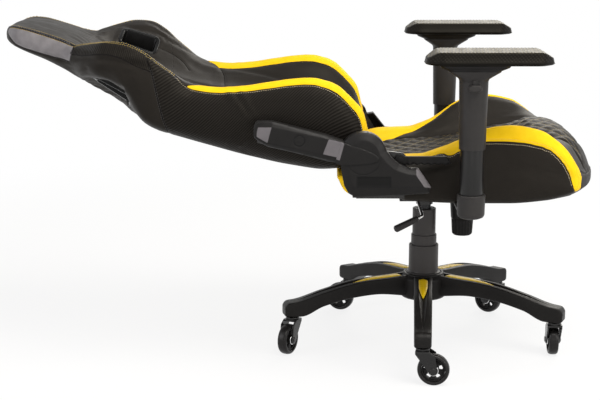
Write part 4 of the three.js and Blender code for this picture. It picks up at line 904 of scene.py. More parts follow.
def diamond_runs(skin, along, border, numbers):
    """The quilting's lines: found in plan, from the middle to a border, and carried to the skin."""
    runs = []
    for sign in (1, -1):
        for number in numbers:
            across = sign * (number - along / DIAMOND_LONG) * DIAMOND_WIDE
            kept = np.nonzero((across > 0.5) & (across < border - 3))[0]
            for part in np.split(kept, np.nonzero(np.diff(kept) > 1)[0] + 1):
                if len(part) > 4:
                    reach = [skin.reach_across(s, y) for s, y in zip(along[part], across[part])]
                    runs.append(np.column_stack([along[part], reach]))
    return runs


def unmoved(points):
    return points


def sewn(name, cushion, lines, thread, **style):
    """Stitches along lines of places on both halves of a cushion."""
    skin, surface, normals, place, body = cushion
    parts = []
    for line in lines:
        s, t = np.asarray(line, float).T
        points, up = skin.sample(surface, s, t), skin.sample(normals, s, t)
        for hand in (1, -1):
            mirror = np.array([1, hand, 1])
            normal = place(up * mirror) - place(np.zeros(3))
            parts.append(stitch_run(place(points * mirror), normal, **style))
    place_on(make_object(name, *joined(parts), thread), body)


# ------------------------------------------------------------------ seat cushion

SEAT_FLOOR, SEAT_HALF = 360, 250  # height of the cushion's underside, and half its width
NOSE_SEAM = 318
seat_crest = profile([(-188, 52), (-150, 60), (-111, 80), (-86, 84), (-50, 85.5), (-22, 87), (0, 94), (10, 98),
                      (27, 105), (48, 117), (72, 133), (93, 143), (122, 150.5), (155, 152.5), (209, 143),
                      (240, 124), (260, 106), (281, 78), (293, 59), (305, 48), (318, 43), (330, 40), (338, 37),
                      (342, 34)])
seat_middle = profile([(-188, 50), (-150, 52), (-110, 58), (-50, 63), (0, 69), (45, 77), (80, 86), (145, 103),
                       (190, 115), (224, 128), (258, 127), (285, 117), (306, 99), (324, 77), (334, 59),
                       (340, 44), (342, 37)])
seat_pad_edge = profile([(-188, 50), (-150, 52), (-110, 65), (-50, 70), (17, 75), (80, 84), (145, 97),
                         (200, 103), (250, 113), (280, 106), (299, 89), (318, 66), (330, 51), (338, 42),
                         (342, 36)])
seat_under = profile([(-188, 42), (-181, 27), (-170, 15), (-156, 8), (-76, 7), (-54, -0.5), (270, 0), (292, 3),
                      (318, 10), (332, 18), (339, 26), (342, 31)])
seat_corner = profile([(-188, 0), (-160, 4), (-60, 5), (20, 1), (60, 0), (150, 0), (222, 6), (260, 14),
                       (285, 19), (305, 15), (325, 8), (342, 1)])
seat_plan = profile([(-188, 0.86), (-175, 0.96), (-140, 1), (250, 1), (272, 0.985), (290, 0.9), (305, 0.77),
                     (318, 0.62), (330, 0.44), (338, 0.27), (342, 0.15)])
seat_crest_place = profile([(-188, 0.7), (20, 0.71), (50, 0.76), (80, 0.83), (110, 0.89), (140, 0.91),
                            (342, 0.91)])


def seat_section(x):
    """Knots of the seat's half rings at places along X."""
    wide = SEAT_HALF * seat_plan(x)
    under = SEAT_FLOOR + seat_under(x)
    corner = under + seat_corner(x)
    crest, pad_edge, middle = (SEAT_FLOOR + f(x) for f in (seat_crest, seat_pad_edge, seat_middle))
    side = crest - corner
    place = seat_crest_place(x)
    inset = (0.91 - place) / 0.21
    y = [0 * x, 0.75, 0.955, 1, 1, lerp(1, 0.985, inset), lerp(0.97, 0.88, inset), place,
         place - lerp(0.09, 0.07, inset), place - lerp(0.21, 0.14, inset), lerp(0.56, 0.48, inset),
         lerp(0.28, 0.24, inset), 0]
    z = [under, lerp(under, corner, 0.2), corner, corner + side * 0.1, corner + side * 0.45,
         corner + side * lerp(0.72, 0.69, inset), corner + side * 0.9, crest,
         crest - (crest - pad_edge) * 0.14, lerp(pad_edge, crest, 0.4), pad_edge, lerp(pad_edge, middle, 0.8),
         middle]
    ahead = x + 3.5 * smooth(x, 284, 342)
    return np.stack([np.stack([ahead, wide * share, height], axis=1) for share, height in zip(y, z)], axis=1)


def seat_cushion():
    places = np.concatenate([np.arange(-188, -170, 3), np.arange(-170, 270, 3.6), np.arange(270, 342, 1.9),
                             [342]])
    skin = Skin(places, seat_section, [22, 14, 6, 14, 12, 9, 8, 8, 10, 11, 20, 20])
    p, normal = skin.points, skin.normals()
    x, y, z = p[..., 0], p[..., 1], p[..., 2]
    t, s = skin.around, skin.along
    top = t > -1

    # yellow band: its inner border is a line in plan, its outer one runs down the side and under the nose
    band_front = 220
    inner = profile([(-188, 112), (-88, 115), (-69, 120), (-37, 140), (-10, 151), (27, 168), (50, 185),
                     (80, 204), (120, 217), (342, band_front)])
    nose = np.arange(250, 342.0)
    front = float(np.interp(-band_front, -SEAT_HALF * seat_plan(nose), nose))
    rows = np.arange(-186, front, 3.0)
    inner_line = list(skin.sample(p, rows, [skin.reach_across(r, inner(r)) for r in rows]))
    for r in np.arange(front - 1, 276, -2.0):
        k = skin.row(r)
        inner_line.append(p[k, int(np.argmin(abs(p[k, :skin.crest // 2, 1] - band_front)))])
    outer_around = profile([(-188, -116), (-176, -112), (-162, -104), (-152, -84), (-146, -50), (-136, -30),
                            (-120, -24), (-60, -24), (0, -28), (20, -34)])
    rear_rows = np.arange(-187, 20, 4.0)
    outer_rear = skin.sample(p, rear_rows, outer_around(rear_rows))
    side_curve = spline([(20, outer_rear[-1, 2] + 0.4), (32, 453.5), (47, 461.5), (66, 471.5), (87, 480.5),
                         (104, 484), (137, 484.5), (160, 483), (179, 481), (209, 474), (229, 465), (248, 447),
                         (263, 424), (272, 400), (281, 378)], 100)
    side_places = np.array([(px, skin.reach_up(px, pz, slice(40, skin.crest))) for px, pz in side_curve])
    foot_places = [(px, skin.reach_up(px, pz, slice(20, 60))) for px, pz in ((279, 368), (275, 362))]
    outer_line = np.vstack([outer_rear, skin.sample(p, *np.vstack([side_places, foot_places]).T)])
    panel_shape = [(q[0], q[2]) for q in outer_line] + [(275, -100), (-400, -100), (-400, 330)]
    panel = within(x, z, panel_shape) & (t < -0.5) & (s > -120) | (t < outer_around(s)) & (s <= -120)
    band = ~panel & (y > inner(x))
    d_inner, d_outer = distance_to(p, np.array(inner_line)), distance_to(p, outer_line)
    d_trim = np.where(y > inner(x) - 20, np.minimum(d_inner, d_outer), d_inner)
    trim = np.minimum(d_trim, 40) * np.where(band, 1, -1)

    # quilted middle and its border seam
    border = profile([(-188, 116), (-60, 120), (17, 120), (60, 126), (120, 138), (342, 140)])
    border_rows = np.arange(-184, 330, 3.0)
    border_y = np.minimum(border(border_rows), SEAT_HALF * seat_plan(border_rows) * 0.9)
    border_around = [skin.reach_across(r, b) for r, b in zip(border_rows, border_y)]
    border_line = skin.sample(p, border_rows, border_around)
    d_border, past_border = distance_to(p, border_line, normal)
    d_border = abs(d_border) * np.where((y < border(x)) & top, 1, -1)
    in_quilt = smooth(np.where(top, np.minimum(d_border, (NOSE_SEAM - x) * 1.4), -30), 0, 3)
    diamond = diamonds(x, y)

    # pillows, then the grooves of the border, of the seam across the nose and of the band's two seams
    lift = in_quilt * pillows(diamond, 3.2)
    lift -= 2.2 * bump(np.where(top, d_border, 60), 3.4) * (s > -60)
    lift -= 2.0 * bump(np.where(top | (s > 290), (x - NOSE_SEAM) * 1.3, 60), 3.0) * (abs(y) < 150)
    lift -= 1.6 * bump(d_inner, 2.8) + 1.5 * bump(d_outer, 2.6) * (y > 150)
    # bolster's padding swells between its seams
    bolster = top & (y > border(x)) & (y < inner(x))
    lift += 2.0 * smooth(d_inner, 3, 22) * smooth(abs(d_border), 3, 22) * bolster
    lift += 1.2 * smooth(d_inner, 2, 12) * smooth(d_outer, 2, 12) * band
    # gathers that run down the nose, and across the bend at the bolster's foot
    gather = ripple(y / 9.0, x / 40.0, 2.0)
    lift += 0.9 * gather * smooth(x, 285, 318) * smooth(340 - x, 0, 14) * (t > 0)
    lift += 0.8 * ripple(x / 11.0 + y / 30.0, y / 60.0, 4.0) * bump(d_border, 26) * (s > -60) * (t > 0)
    lift += 0.55 * ripple(x / 30.0, z / 16.0 + x / 90.0, 7.0) * panel * smooth(d_outer, 2, 20)
    lift += 0.35 * ripple(x / 22.0, y / 18.0, 9.0) * band
    shown = smooth(z, SEAT_FLOOR + 2, SEAT_FLOOR + 14)
    half = p + normal * (lift * shown)[..., None]

    pinned = np.where((d_inner < 5) | (d_outer < 5) | (abs(d_border) < 5) | (z < SEAT_FLOOR + 12)
                      | ((diamond < 4.5) & (in_quilt > 0.5)) | (s < -150), 1.0, 0.0)
    half = half + sit(half, pinned)
    half[:, 0, 1] = half[:, -1, 1] = 0

    none = np.full(t.shape, -9.0)
    attributes = {
        "trim": trim, "carbon": none, "pale": none, "tape": none, "sew": np.stack([s, t, y], axis=2),
        "seam_1": np.stack([d_border, np.maximum(past_border, (s < -60) * 9.0)], axis=2),
        "seam_2": np.stack([(x - NOSE_SEAM) * 1.3, np.where(t > 0, 0.0, 9.0) + 3 * (abs(y) > 150)], axis=2),
    }
    caps = [[(-1.2, 0.8, 0.995), (-2.2, 0.5, 0.985)], [(0.9, 0.8, 0.94), (1.6, 0.5, 0.86), (1.9, 0.2, 0.8)]]
    obj = skin_object("seat_upholstery", skin, half, attributes, caps, unmoved, UPHOLSTERY)
    place_on(obj, "seat", ["seat_cushion"])

    # stitching
    cushion = (skin, half, skin.normals(half), unmoved, "seat")
    along = np.arange(-70, NOSE_SEAM - 2, 3.0)
    runs = diamond_runs(skin, along, border(along), range(-14, 22))
    sewn("seat_quilting", cushion, runs, QUILT_THREAD, **QUILT_STITCH)
    hem_rows = rear_rows[28:-1]
    shift = np.array([(1.0, 4.0) if q[0] > 262 else (0.6, 5.0) for q in side_places])
    hem = outer_around(hem_rows)
    above = np.vstack([np.column_stack([hem_rows, hem + 5]), (side_places + shift)[:-8]])
    below = np.vstack([np.column_stack([hem_rows, hem - 5]), side_places[:-6] + [-2.4, -4.6]])
    sewn("seat_band_stitches", cushion, [above], YELLOW_THREAD, pitch=4.6, length=3.4, radius=0.42)
    sewn("seat_panel_stitches", cushion, [below], WHITE_THREAD, pitch=4.4, length=3.4, radius=0.5)


seat_cushion()


# ------------------------------------------------------------------ back cushion
# Its own frame: s along the back from the recline pivot, y across, n out of its front face.

PIVOT_X, PIVOT_Z = -143, 462
RISE = math.radians(15)
back_plan = profile([(-8, 218), (30, 230), (80, 236), (350, 237), (400, 244), (450, 256), (495, 266),
                     (540, 258), (575, 220), (604, 172), (635, 146), (700, 141), (726, 133), (742, 114),
                     (754, 84), (762, 46)])
back_crest = profile([(-8, 28), (0, 42), (20, 72), (45, 90.5), (60, 99.5), (80, 108.5), (100, 112),
                      (120, 112), (140, 108.5), (160, 102), (180, 94.5), (200, 85.5), (220, 77), (240, 68),
                      (260, 60), (280, 53), (300, 46.5), (330, 40.5), (355, 38.5), (376, 42), (400, 52),
                      (432, 65.5), (466, 81.5), (498, 88.5), (531, 83.5), (566, 69), (592, 55.5), (605, 48),
                      (614, 46.5), (640, 48), (671, 50), (705, 51), (732, 49), (746, 45), (756, 38), (762, 30)])
back_pad = profile([(-8, 18), (40, 38), (100, 45), (160, 40), (220, 24), (290, 8), (360, 2), (430, 6),
                    (500, 16), (560, 30), (604, 43), (671, 49), (732, 47), (746, 44), (756, 37), (762, 29)])
back_rear = profile([(-8, -22), (8, -44), (40, -57), (79, -65), (196, -72), (313, -73), (374, -72.5),
                     (411, -71), (440, -69), (470, -63), (482, -57.5), (532, -41), (563, -34), (591, -25),
                     (622, -15), (668, -4), (735, 6), (762, 12)])
back_low = profile([(-8, -14), (40, -40), (100, -50), (300, -56), (400, -54), (432, -44), (454, -22),
                    (473, 0), (490, 13), (520, 20), (561, 15), (583, 8), (611, 10), (681, 9), (716, 13),
                    (740, 17), (762, 18)])
back_rear_width = profile([(-8, 0.8), (100, 0.86), (300, 0.86), (430, 0.78), (490, 0.58), (550, 0.57),
                           (604, 0.76), (640, 0.82), (762, 0.86)])
back_rear_corner = profile([(-8, 0.4), (50, 0.2), (110, 0.13), (400, 0.13), (450, 0.42), (490, 0.56),
                            (550, 0.56), (590, 0.32), (640, 0.2), (762, 0.2)])
back_crest_place = profile([(-8, 0.87), (350, 0.87), (430, 0.92), (500, 0.95), (604, 0.93), (762, 0.93)])
back_pad_width = profile([(-8, 0.55), (200, 0.52), (300, 0.46), (360, 0.4), (430, 0.4), (500, 0.42), (604, 0.6),
                          (680, 0.75), (762, 0.75)])
SLOT = (470, 550, 138, 186)  # along from, along to, across from, across to
SLOT_CORNER = 10


def from_back(points):
    """Points of the back's own frame as chair points."""
    q = np.asarray(points, float)
    out = np.empty_like(q)
    out[..., 0] = PIVOT_X - math.cos(RISE) * q[..., 0] + math.sin(RISE) * q[..., 2]
    out[..., 1] = q[..., 1]
    out[..., 2] = PIVOT_Z + math.sin(RISE) * q[..., 0] + math.cos(RISE) * q[..., 2]
    return out


def slot_ring(grow=0.0, steps=6):
    """Outline of the left belt slot, grown outwards."""
    s0, s1, y0, y1 = np.array(SLOT) + np.array([1, -1, 1, -1]) * SLOT_CORNER
    ring = []
    for s, y, start in ((s1, y1, 0), (s0, y1, 90), (s0, y0, 180), (s1, y0, 270)):
        ring += arc(s, y, SLOT_CORNER + grow, start, start + 90, steps)
    return np.array(ring)


def back_section(s):
    """Knots of the back's half rings at places along it."""
    wide, crest, rear, low, pad = (f(s) for f in (back_plan, back_crest, back_rear, back_low, back_pad))
    crest_y, rear_y, pad_y = wide * back_crest_place(s), wide * back_rear_width(s), wide * back_pad_width(s)
    knots = [
        (0 * s, rear), (rear_y * 0.62, lerp(rear, low, 0.04)), (rear_y, lerp(rear, low, back_rear_corner(s))),
        (wide * 0.965, low), (wide, lerp(low, crest, 0.3)), (wide, lerp(low, crest, 0.68)),
        (lerp(crest_y, wide, 0.6), lerp(low, crest, 0.95)), (crest_y, crest),
        (lerp(crest_y, pad_y, 0.22), lerp(crest, pad, 0.12)),
        (lerp(crest_y, pad_y, 0.6), lerp(crest, pad, 0.6)),
        (pad_y, lerp(crest, pad, 0.97)), (pad_y * 0.5, pad + 1), (0 * s, pad + 2),
    ]
    return np.stack([np.stack([s, y, n], axis=1) for y, n in knots], axis=1)


def back_cushion():
    places = np.concatenate([np.arange(-8, 4, 2.0), np.arange(4, 724, 3.7), np.arange(724, 762, 2.0), [762]])
    counts = [20, 14, 12, 9, 11, 8, 7, 8, 13, 13, 16, 16]
    skin = Skin(places, back_section, counts)
    p, normal = skin.points, skin.normals()
    t, s = skin.around, skin.along
    y, n = p[..., 1], p[..., 2]
    side = t < -0.5
    top = ~side

    # the main seam runs round the front's outer edge; below the shoulder it drops on to the side
    edge = profile([(-8, -38), (7, -34), (14, -30), (26, -26), (49, -24), (74, -23), (120, -21), (350, -21),
                    (372, -17), (398, -3), (410, -2), (606, -2), (620, 0), (762, 0)])
    edge_rows = np.arange(-7, 757, 3.5)
    edge_line = skin.sample(p, edge_rows, edge(edge_rows))
    d_edge = distance_to(p, edge_line)
    over = t > edge(s)

    # yellow stripe over the crest, cut off slantwise at its upper end
    stripe_width = profile([(-8, 20), (120, 22), (200, 23), (260, 26), (330, 29)])
    inner_rows = np.arange(-7, 328, 3.5)
    inner_line = skin.sample(p, inner_rows, stripe_width(inner_rows))
    _, cut_line = skin.line([(369, -19), (361, -10), (350, 0), (342, 8), (331, 22), (318, 44), (308, 72),
                             (303, 100), (300, 125)])
    stripe_end = profile([(-21, 371), (-10, 361), (0, 350), (8, 342), (22, 331), (44, 318)])
    stripe = over & (t < stripe_width(s)) & (s < stripe_end(t))
    d_cut, past_cut = distance_to(p, cut_line, normal)
    d_stripe = np.minimum(distance_to(p, inner_line), np.where(t < 31, distance_to(p, cut_line), 99))
    d_stripe = np.minimum(d_stripe, np.where(s < 402, d_edge, 99))
    trim = np.minimum(d_stripe, 40) * np.where(stripe, 1, -1)

    # carbon-look side, its border with the shoulder piece, and the grey side of the head
    wing_border = [(452, 69), (446, 58), (439, 48), (425, 20), (411, -9), (396, -38), (382, -62), (378, -76)]
    wing_s = profile([(-76, 378), (-62, 382), (-38, 396), (-9, 411), (20, 425), (48, 439), (58, 446), (69, 452),
                      (90, 456)])
    from_wing = (wing_s(n) - s) * 0.9
    carbon = np.where(~over & (s < wing_s(n)), np.minimum(d_edge, abs(from_wing)),
                      -np.minimum(d_edge, abs(from_wing)))
    rear_flat = t < t[:, [counts[0] + counts[1] + 4]]
    carbon = np.where(rear_flat, -12.0, carbon)
    head_low = profile([(604, 12), (640, 11), (677, 10.5), (705, 10.5), (722, 12), (741, 20), (762, 30)])
    pale = np.minimum(np.minimum(s - 609, n - head_low(s)), 755 - s)
    pale = np.where(side, np.minimum(pale, -t - 7.5), -8.0)

    # other seams: strip under the shoulder's edge, the arc on the bolster, the cut's run, the head's sides
    strip_rows = [(436, -30), (442, -32), (473, -38), (507, -34), (529, -32), (575, -32), (599, -27),
                  (607, -25)]
    _, strip_line = skin.line(strip_rows)
    d_strip, past_strip = distance_to(p, strip_line, normal)
    strip_low = profile(strip_rows)
    strip = np.minimum(np.minimum(t - strip_low(s), edge(s) - t), np.minimum(606 - s, -from_wing))
    carbon = np.maximum(carbon, strip)
    tape = profile([(380, 0), (402, 3.4), (600, 3.8), (620, 7.0), (762, 7.0)])(s) - abs(t - edge(s))
    tape = np.where(s > 382, tape, -5.0)
    arc_line = skin.line([(468, 96), (450, 84), (428, 76), (404, 78), (386, 92)])[1]
    d_arc, past_arc = distance_to(p, arc_line, normal)
    head_line = skin.line([(612, -26), (609, -16), (606, -3)])[1]
    d_head, past_head = distance_to(p, head_line, normal)
    neck_line = skin.line([(606, -1), (600, 30), (596, 70), (594, 130)])[1]
    d_neck, past_neck = distance_to(p, neck_line, normal)

    # quilted middle of the back, below the head
    pad_edge = profile([(-8, 108), (200, 106), (300, 84), (360, 68), (430, 72), (500, 80), (560, 80),
                        (600, 80)])
    quilt = np.minimum(np.minimum(pad_edge(s) - y, 566 - s), s - 4)
    quilt = np.where(top & (t > 30), quilt, -30)
    diamond = diamonds(s, y)
    in_quilt = smooth(quilt, 0, 3)
    lift = in_quilt * pillows(diamond, 3.0)
    lift -= 2.0 * bump(np.where(top & (t > 30), quilt, 60), 3.4)
    stripe_groove = bump(np.where(stripe | (d_stripe > 0), d_stripe, 9), 2.6) * (s < 402)
    lift -= 1.7 * bump(d_edge, 2.8) + 1.4 * stripe_groove
    lift -= 1.6 * bump(np.where(side & (s > 360), abs(from_wing), 60), 2.8)
    cut_groove = bump(np.maximum(abs(d_cut), past_cut * 2), 2.6) * (t > 27)
    lift -= 1.2 * bump(np.maximum(abs(d_arc), past_arc * 2), 2.6) + 1.4 * cut_groove
    lift -= 1.6 * bump(np.maximum(abs(d_head), past_head * 2), 2.6)
    lift -= 1.4 * bump(np.where(side, pale, 60), 2.6) * (s > 604)
    lift -= 1.2 * bump(np.maximum(abs(d_neck), past_neck * 2), 3.2)
    # padding swells between seams
    lift += 2.2 * smooth(d_edge, 3, 26) * smooth(s, 0, 30) * (side & (s < 400)) * smooth(n, -60, -30)
    lift += 1.0 * smooth(d_stripe, 2, 12) * stripe
    lift += 1.6 * smooth(abs(t - 22), 2, 20) * (t > 22) * smooth(quilt, -4, -26) * (s < 560)
    # soft ridge under the shoulder's edge, and the pull of the cover towards the neck
    ridge = profile([(430, -20), (470, -28), (500, -34), (540, -34), (575, -28), (604, -26)])
    lift += 2.4 * bump(t - ridge(s) - 4, 7) * smooth(s, 440, 480) * smooth(606 - s, 0, 40)
    lift -= 1.6 * bump(t - ridge(s) + 8, 6) * smooth(s, 430, 470) * smooth(606 - s, 0, 40)
    pulls = np.sin((t * 0.9 + s * 0.35) / 4.2 + 1.3 * np.sin(s / 37.0))
    lift += 0.55 * pulls * smooth(s, 560, 592) * smooth(640 - s, 0, 26) * (n > -5)
    lift += 1.5 * bump(d_strip, 3.2) * (s > 440) * (s < 604) * side
    # the cover's lips round the belt slots, and its gathers behind them
    from_slot = np.hypot(np.maximum(np.maximum(SLOT[0] - s, s - SLOT[1]), 0),
                         np.maximum(np.maximum(SLOT[2] - y, y - SLOT[3]), 0))
    lift += 1.6 * bump(from_slot - 6, 6)
    behind = n < lerp(back_rear(s), back_crest(s), 0.5)
    gathers = np.sin((s + 0.7 * y) / 3.4 + 1.6 * np.sin(y / 15.0)) * np.sin(s / 29.0 + y / 20.0)
    gathers = 1.5 * gathers * behind * smooth(y, 70, 92) * smooth(146 - y, 0, 10)
    lift += gathers * smooth(s, 452, 474) * smooth(592 - s, 0, 22) * smooth(from_slot, 0, 6)
    # folds that spread from the bracket cover's upper corner, and along the underside
    for fold, deep, wide in (([(222, 12), (262, 52)], 2.2, 5.0), ([(230, 4), (285, 44)], 1.9, 6.0),
                             ([(236, 16), (252, 34)], -1.6, 5.0), ([(226, -30), (236, -52)], 1.8, 5.0)):
        lift += deep * bump(curve_distance(s, n, fold), wide) * side
    lift += 0.9 * ripple(s / 34.0 + n / 21.0, n / 17.0, 3.0) * (side & (s < 400)) * smooth(d_edge, 4, 30)
    lift += 0.8 * ripple(s / 42.0, t / 17.0 + s / 60.0, 6.0) * (t > 24) * (s > 330) * (s < 590) * (quilt < 0)
    shoulder = side * smooth(s, 440, 480) * smooth(600 - s, 0, 30)
    lift += 0.7 * ripple(s / 15.0 + t / 40.0, t / 26.0, 8.0) * shoulder
    lift += 0.4 * ripple(s / 26.0, t / 15.0, 5.0) * (s > 600)
    half = p + normal * lift[..., None]

    pinned = np.where((d_edge < 5) | (abs(trim) < 5) | (abs(from_wing) < 5) & side & (s > 360) | (s < 8)
                      | ((diamond < 4.5) & (in_quilt > 0.5)) | (n < back_rear(s) + 6) & (y < 190), 1.0, 0.0)
    half = half + sit(half, pinned)
    half[:, 0, 1] = half[:, -1, 1] = 0

    attributes = {
        "trim": trim, "carbon": carbon, "pale": pale, "tape": tape,
        "sew": np.stack([np.where(strip > 0, s * 1.7, s), np.where(strip > 0, 0, t), y], axis=2),
        "seam_1": np.stack([np.where(over, d_edge, -d_edge), 0 * s], axis=2),
        "seam_2": np.stack([d_cut, np.maximum(past_cut, (t < 27) * 9.0)], axis=2),
        "seam_3": np.stack([d_arc, past_arc], axis=2),
        "seam_4": np.stack([d_head, past_head], axis=2),
        "seam_5": np.stack([np.where(side, from_wing, 60), np.where(s > 360, 0.0, 9.0)], axis=2),
    }
    caps = [[(-1.2, 0.8, 0.99), (-2.0, 0.45, 0.97)], [(1.2, 0.8, 0.92), (2.0, 0.5, 0.84), (2.3, 0.2, 0.76)]]
    obj = skin_object("back_upholstery", skin, half, attributes, caps, from_back, UPHOLSTERY)

    # belt slots
    for hand in (1, -1):
        rings = [np.column_stack([slot_ring() * [1, hand], np.full(28, depth)]) for depth in (-150, 150)]
        tool_points, tool_faces = capped_tube(rings)
        tool = make_object("slot_tool", from_back(tool_points), tool_faces, UPHOLSTERY)
        cut = obj.modifiers.new("slot", "BOOLEAN")
        cut.object, cut.operation, cut.solver = tool, "DIFFERENCE", "EXACT"
        bpy.context.view_layer.objects.active = obj
        bpy.ops.object.modifier_apply(modifier=cut.name)
        bpy.data.objects.remove(tool, do_unlink=True)
    place_on(obj, "back", ["back_cushion"])

    # stitching
    cushion = (skin, half, skin.normals(half), from_back, "back")
    outside = slice(0, skin.crest + 1)
    rows = np.arange(-4, 754, 3.0)
    upper, lower = rows[rows > 392], rows[rows < 395]
    gap = profile([(392, 3.8), (470, 4.2), (600, 4.6), (620, 8.2), (762, 8.2)])
    seam_sides = [np.column_stack([upper, edge(upper) + side * gap(upper)]) for side in (1, -1)]
    sewn("back_edge_stitches", cushion, seam_sides, YELLOW_THREAD, pitch=4.8, length=3.5, radius=0.42)
    sewn("back_side_stitches", cushion, [np.column_stack([lower, edge(lower) - 4.2])], WHITE_THREAD,
         pitch=4.4, length=3.4, radius=0.5)
    ladder = []
    for place in np.arange(618, 748, 5.4):
        ladder.append([(place + 1.6 * step, edge(place) + 6.2 * (step - 1)) for step in range(3)])
    sewn("back_head_lacing", cushion, ladder, LACING, pitch=7, length=12, radius=0.95)
    dark = [[(606, -2), (609, -14), (612, -25)]]
    dark.append([(r, skin.reach_up(r, head_low(r) - 2, outside)) for r in np.arange(614, 752, 3.0)])
    wing = spline(wing_border, 60)[6:]
    wing[:, 1] = [skin.reach_up(place, level, outside) for place, level in wing]
    dark += [wing + [shift, 0] for shift in (-2.2, 2.2)]
    sewn("back_dark_stitches", cushion, dark, BLACK_THREAD, pitch=4.6, length=3.6, radius=0.5)
    along = np.arange(6, 564, 3.0)
    sewn("back_quilting", cushion, diamond_runs(skin, along, pad_edge(along), range(-8, 24)), QUILT_THREAD,
         **QUILT_STITCH)
    return skin, half


BACK_SKIN, BACK_SURFACE = back_cushion()


# ------------------------------------------------------------------ moulded covers

def faced_plate(outline, y_back, y_front, height, spacing=2.4, wall=None, place=None):
    """A plate seen from the side. Its front face stands height(points) proud of y_front; the rim joins it to
    y_back. With a wall it is a shell that is open at the back. Second result: the face's points."""
    out = math.copysign(1, y_front - y_back)
    rim = resampled(outline, spacing)
    face, tris, count = filled(rim, spacing)
    rise = height(face)
    points = [np.column_stack([face, y_front + out * rise]), np.column_stack([rim, np.full(count, y_back)])]
    total = len(face)
    faces = [tuple(f) for f in tris]
    ring = np.arange(count)
    after = np.roll(ring, -1)
    faces += [(total + k, total + n, n, k) for k, n in zip(ring, after)]
    if wall is None:
        back, back_tris, _ = filled(rim, spacing * 4)
        start = total + count
        points.append(np.column_stack([back[count:], np.full(len(back) - count, y_back)]))
        faces += fill_faces(back_tris, back, count, total, start)
    else:
        inner = offset_outline(rim, wall)
        ceiling, ceiling_tris, _ = filled(inner, spacing * 3)
        deep = y_front - out * (wall + 6)
        start = total + count
        points += [np.column_stack([inner, np.full(count, y_back)]),
                   np.column_stack([ceiling, np.full(len(ceiling), deep)])]
        for k, n in zip(ring, after):
            faces.append((total + n, total + k, start + k, start + n))
            faces.append((start + n, start + k, start + count + k, start + count + n))
        faces += [tuple(start + count + i for i in f) for f in ceiling_tris]
    points = np.vstack(points)[:, [0, 2, 1]]
    return (points if place is None else place(points)), faces, face


def cover_look():
    """Cover plastic. Its pale field is light grey: on a side cover's upper and front chamfers that is a painted
    highlight of the overhead light, on a bracket cover it marks the end facets. Drawn lines along grooves and
    outlines get painted shade, and the label recess is darker.
    """
    look = Look("cover_plastic_grained", (0.03, 0.03, 0.03), 0.46, specular=0.16)
    pale = look.ranged(look.attribute("pale"), 0.1, 0.8)
    label_recess = look.ranged(look.attribute("label_recess"), 0.0, 0.6)
    blotch = look.ranged(look.noise(18, 4), 0.3, 0.7)
    dark = look.mix(blotch, (0.0072, 0.0066, 0.0064), (0.0092, 0.0085, 0.0083))
    # darker inside the label recess
    dark = look.mix(label_recess, dark, (0.0022, 0.0020, 0.0019))
    # painted shade: drawn lines along grooves and outlines are darkened as if shadow lay in them
    line = look.ranged(look.math("ABSOLUTE", look.attribute("line")), 0.6, 1.3, 1.0, 0.0)
    dark = look.mix(line, dark, (0.0025, 0.0024, 0.0024))
    # light grey of the pale field, a painted highlight on the side covers' chamfers
    light = look.mix(blotch, (0.115, 0.108, 0.115), (0.14, 0.131, 0.139))
    look.set("Base Color", look.mix(pale, dark, light))
    look.set("Roughness", look.ranged(look.noise(60, 5, 0.65), 0.25, 0.75, 0.38, 0.5))
    look.bump(look.add(look.times(look.noise(800, 2), 0.7), look.times(look.cells(640), 0.3)), 0.00016, 0.7)
    return look.material


COVER_LOOK = cover_look()
COVER_IN, COVER_OUT = 262.4, 292.4  # across, of both covers
ROUND_END = {-1: 46.5, 1: 28}  # radius of a side cover's round end about the pivot, right and left
GROOVE = {-1: 35, 1: 22}  # radius of the groove round it


def chamfer(distance, wide, deep):
    """Height of a face that slopes off towards its rim."""
    return -deep * (1 - np.clip(distance / wide, 0, 1)) - 1.0 * np.clip(1 - distance / 1.2, 0, 1) ** 2


def signed_inside(points, outline):
    """Distance to a closed outline, positive inside it."""
    return outline_distance(points, outline) * np.where(within(points[:, 0], points[:, 1], outline), 1, -1)


def moulded_cover(name, parts, body, node):
    """Plates as one piece. Its material reads how far inside the pale field and the label recess a point of a
    face is, and how far from a drawn line. The pale field is partly a painted highlight, and the drawn lines are
    painted shade."""
    obj = make_object(name, *joined([part[:2] for part in parts]), COVER_LOOK, sharp=38)
    for number, key in enumerate(("pale", "label_recess", "line")):
        values = []
        for points, _, face, marks in parts:
            rest = np.full(len(points), -3.0 if number < 2 else 9.0)
            rest[:len(face)] = marks[number](face)
            values.append(rest)
        set_attribute(obj.data, key, np.hstack(values))
    place_on(obj, body, [node])


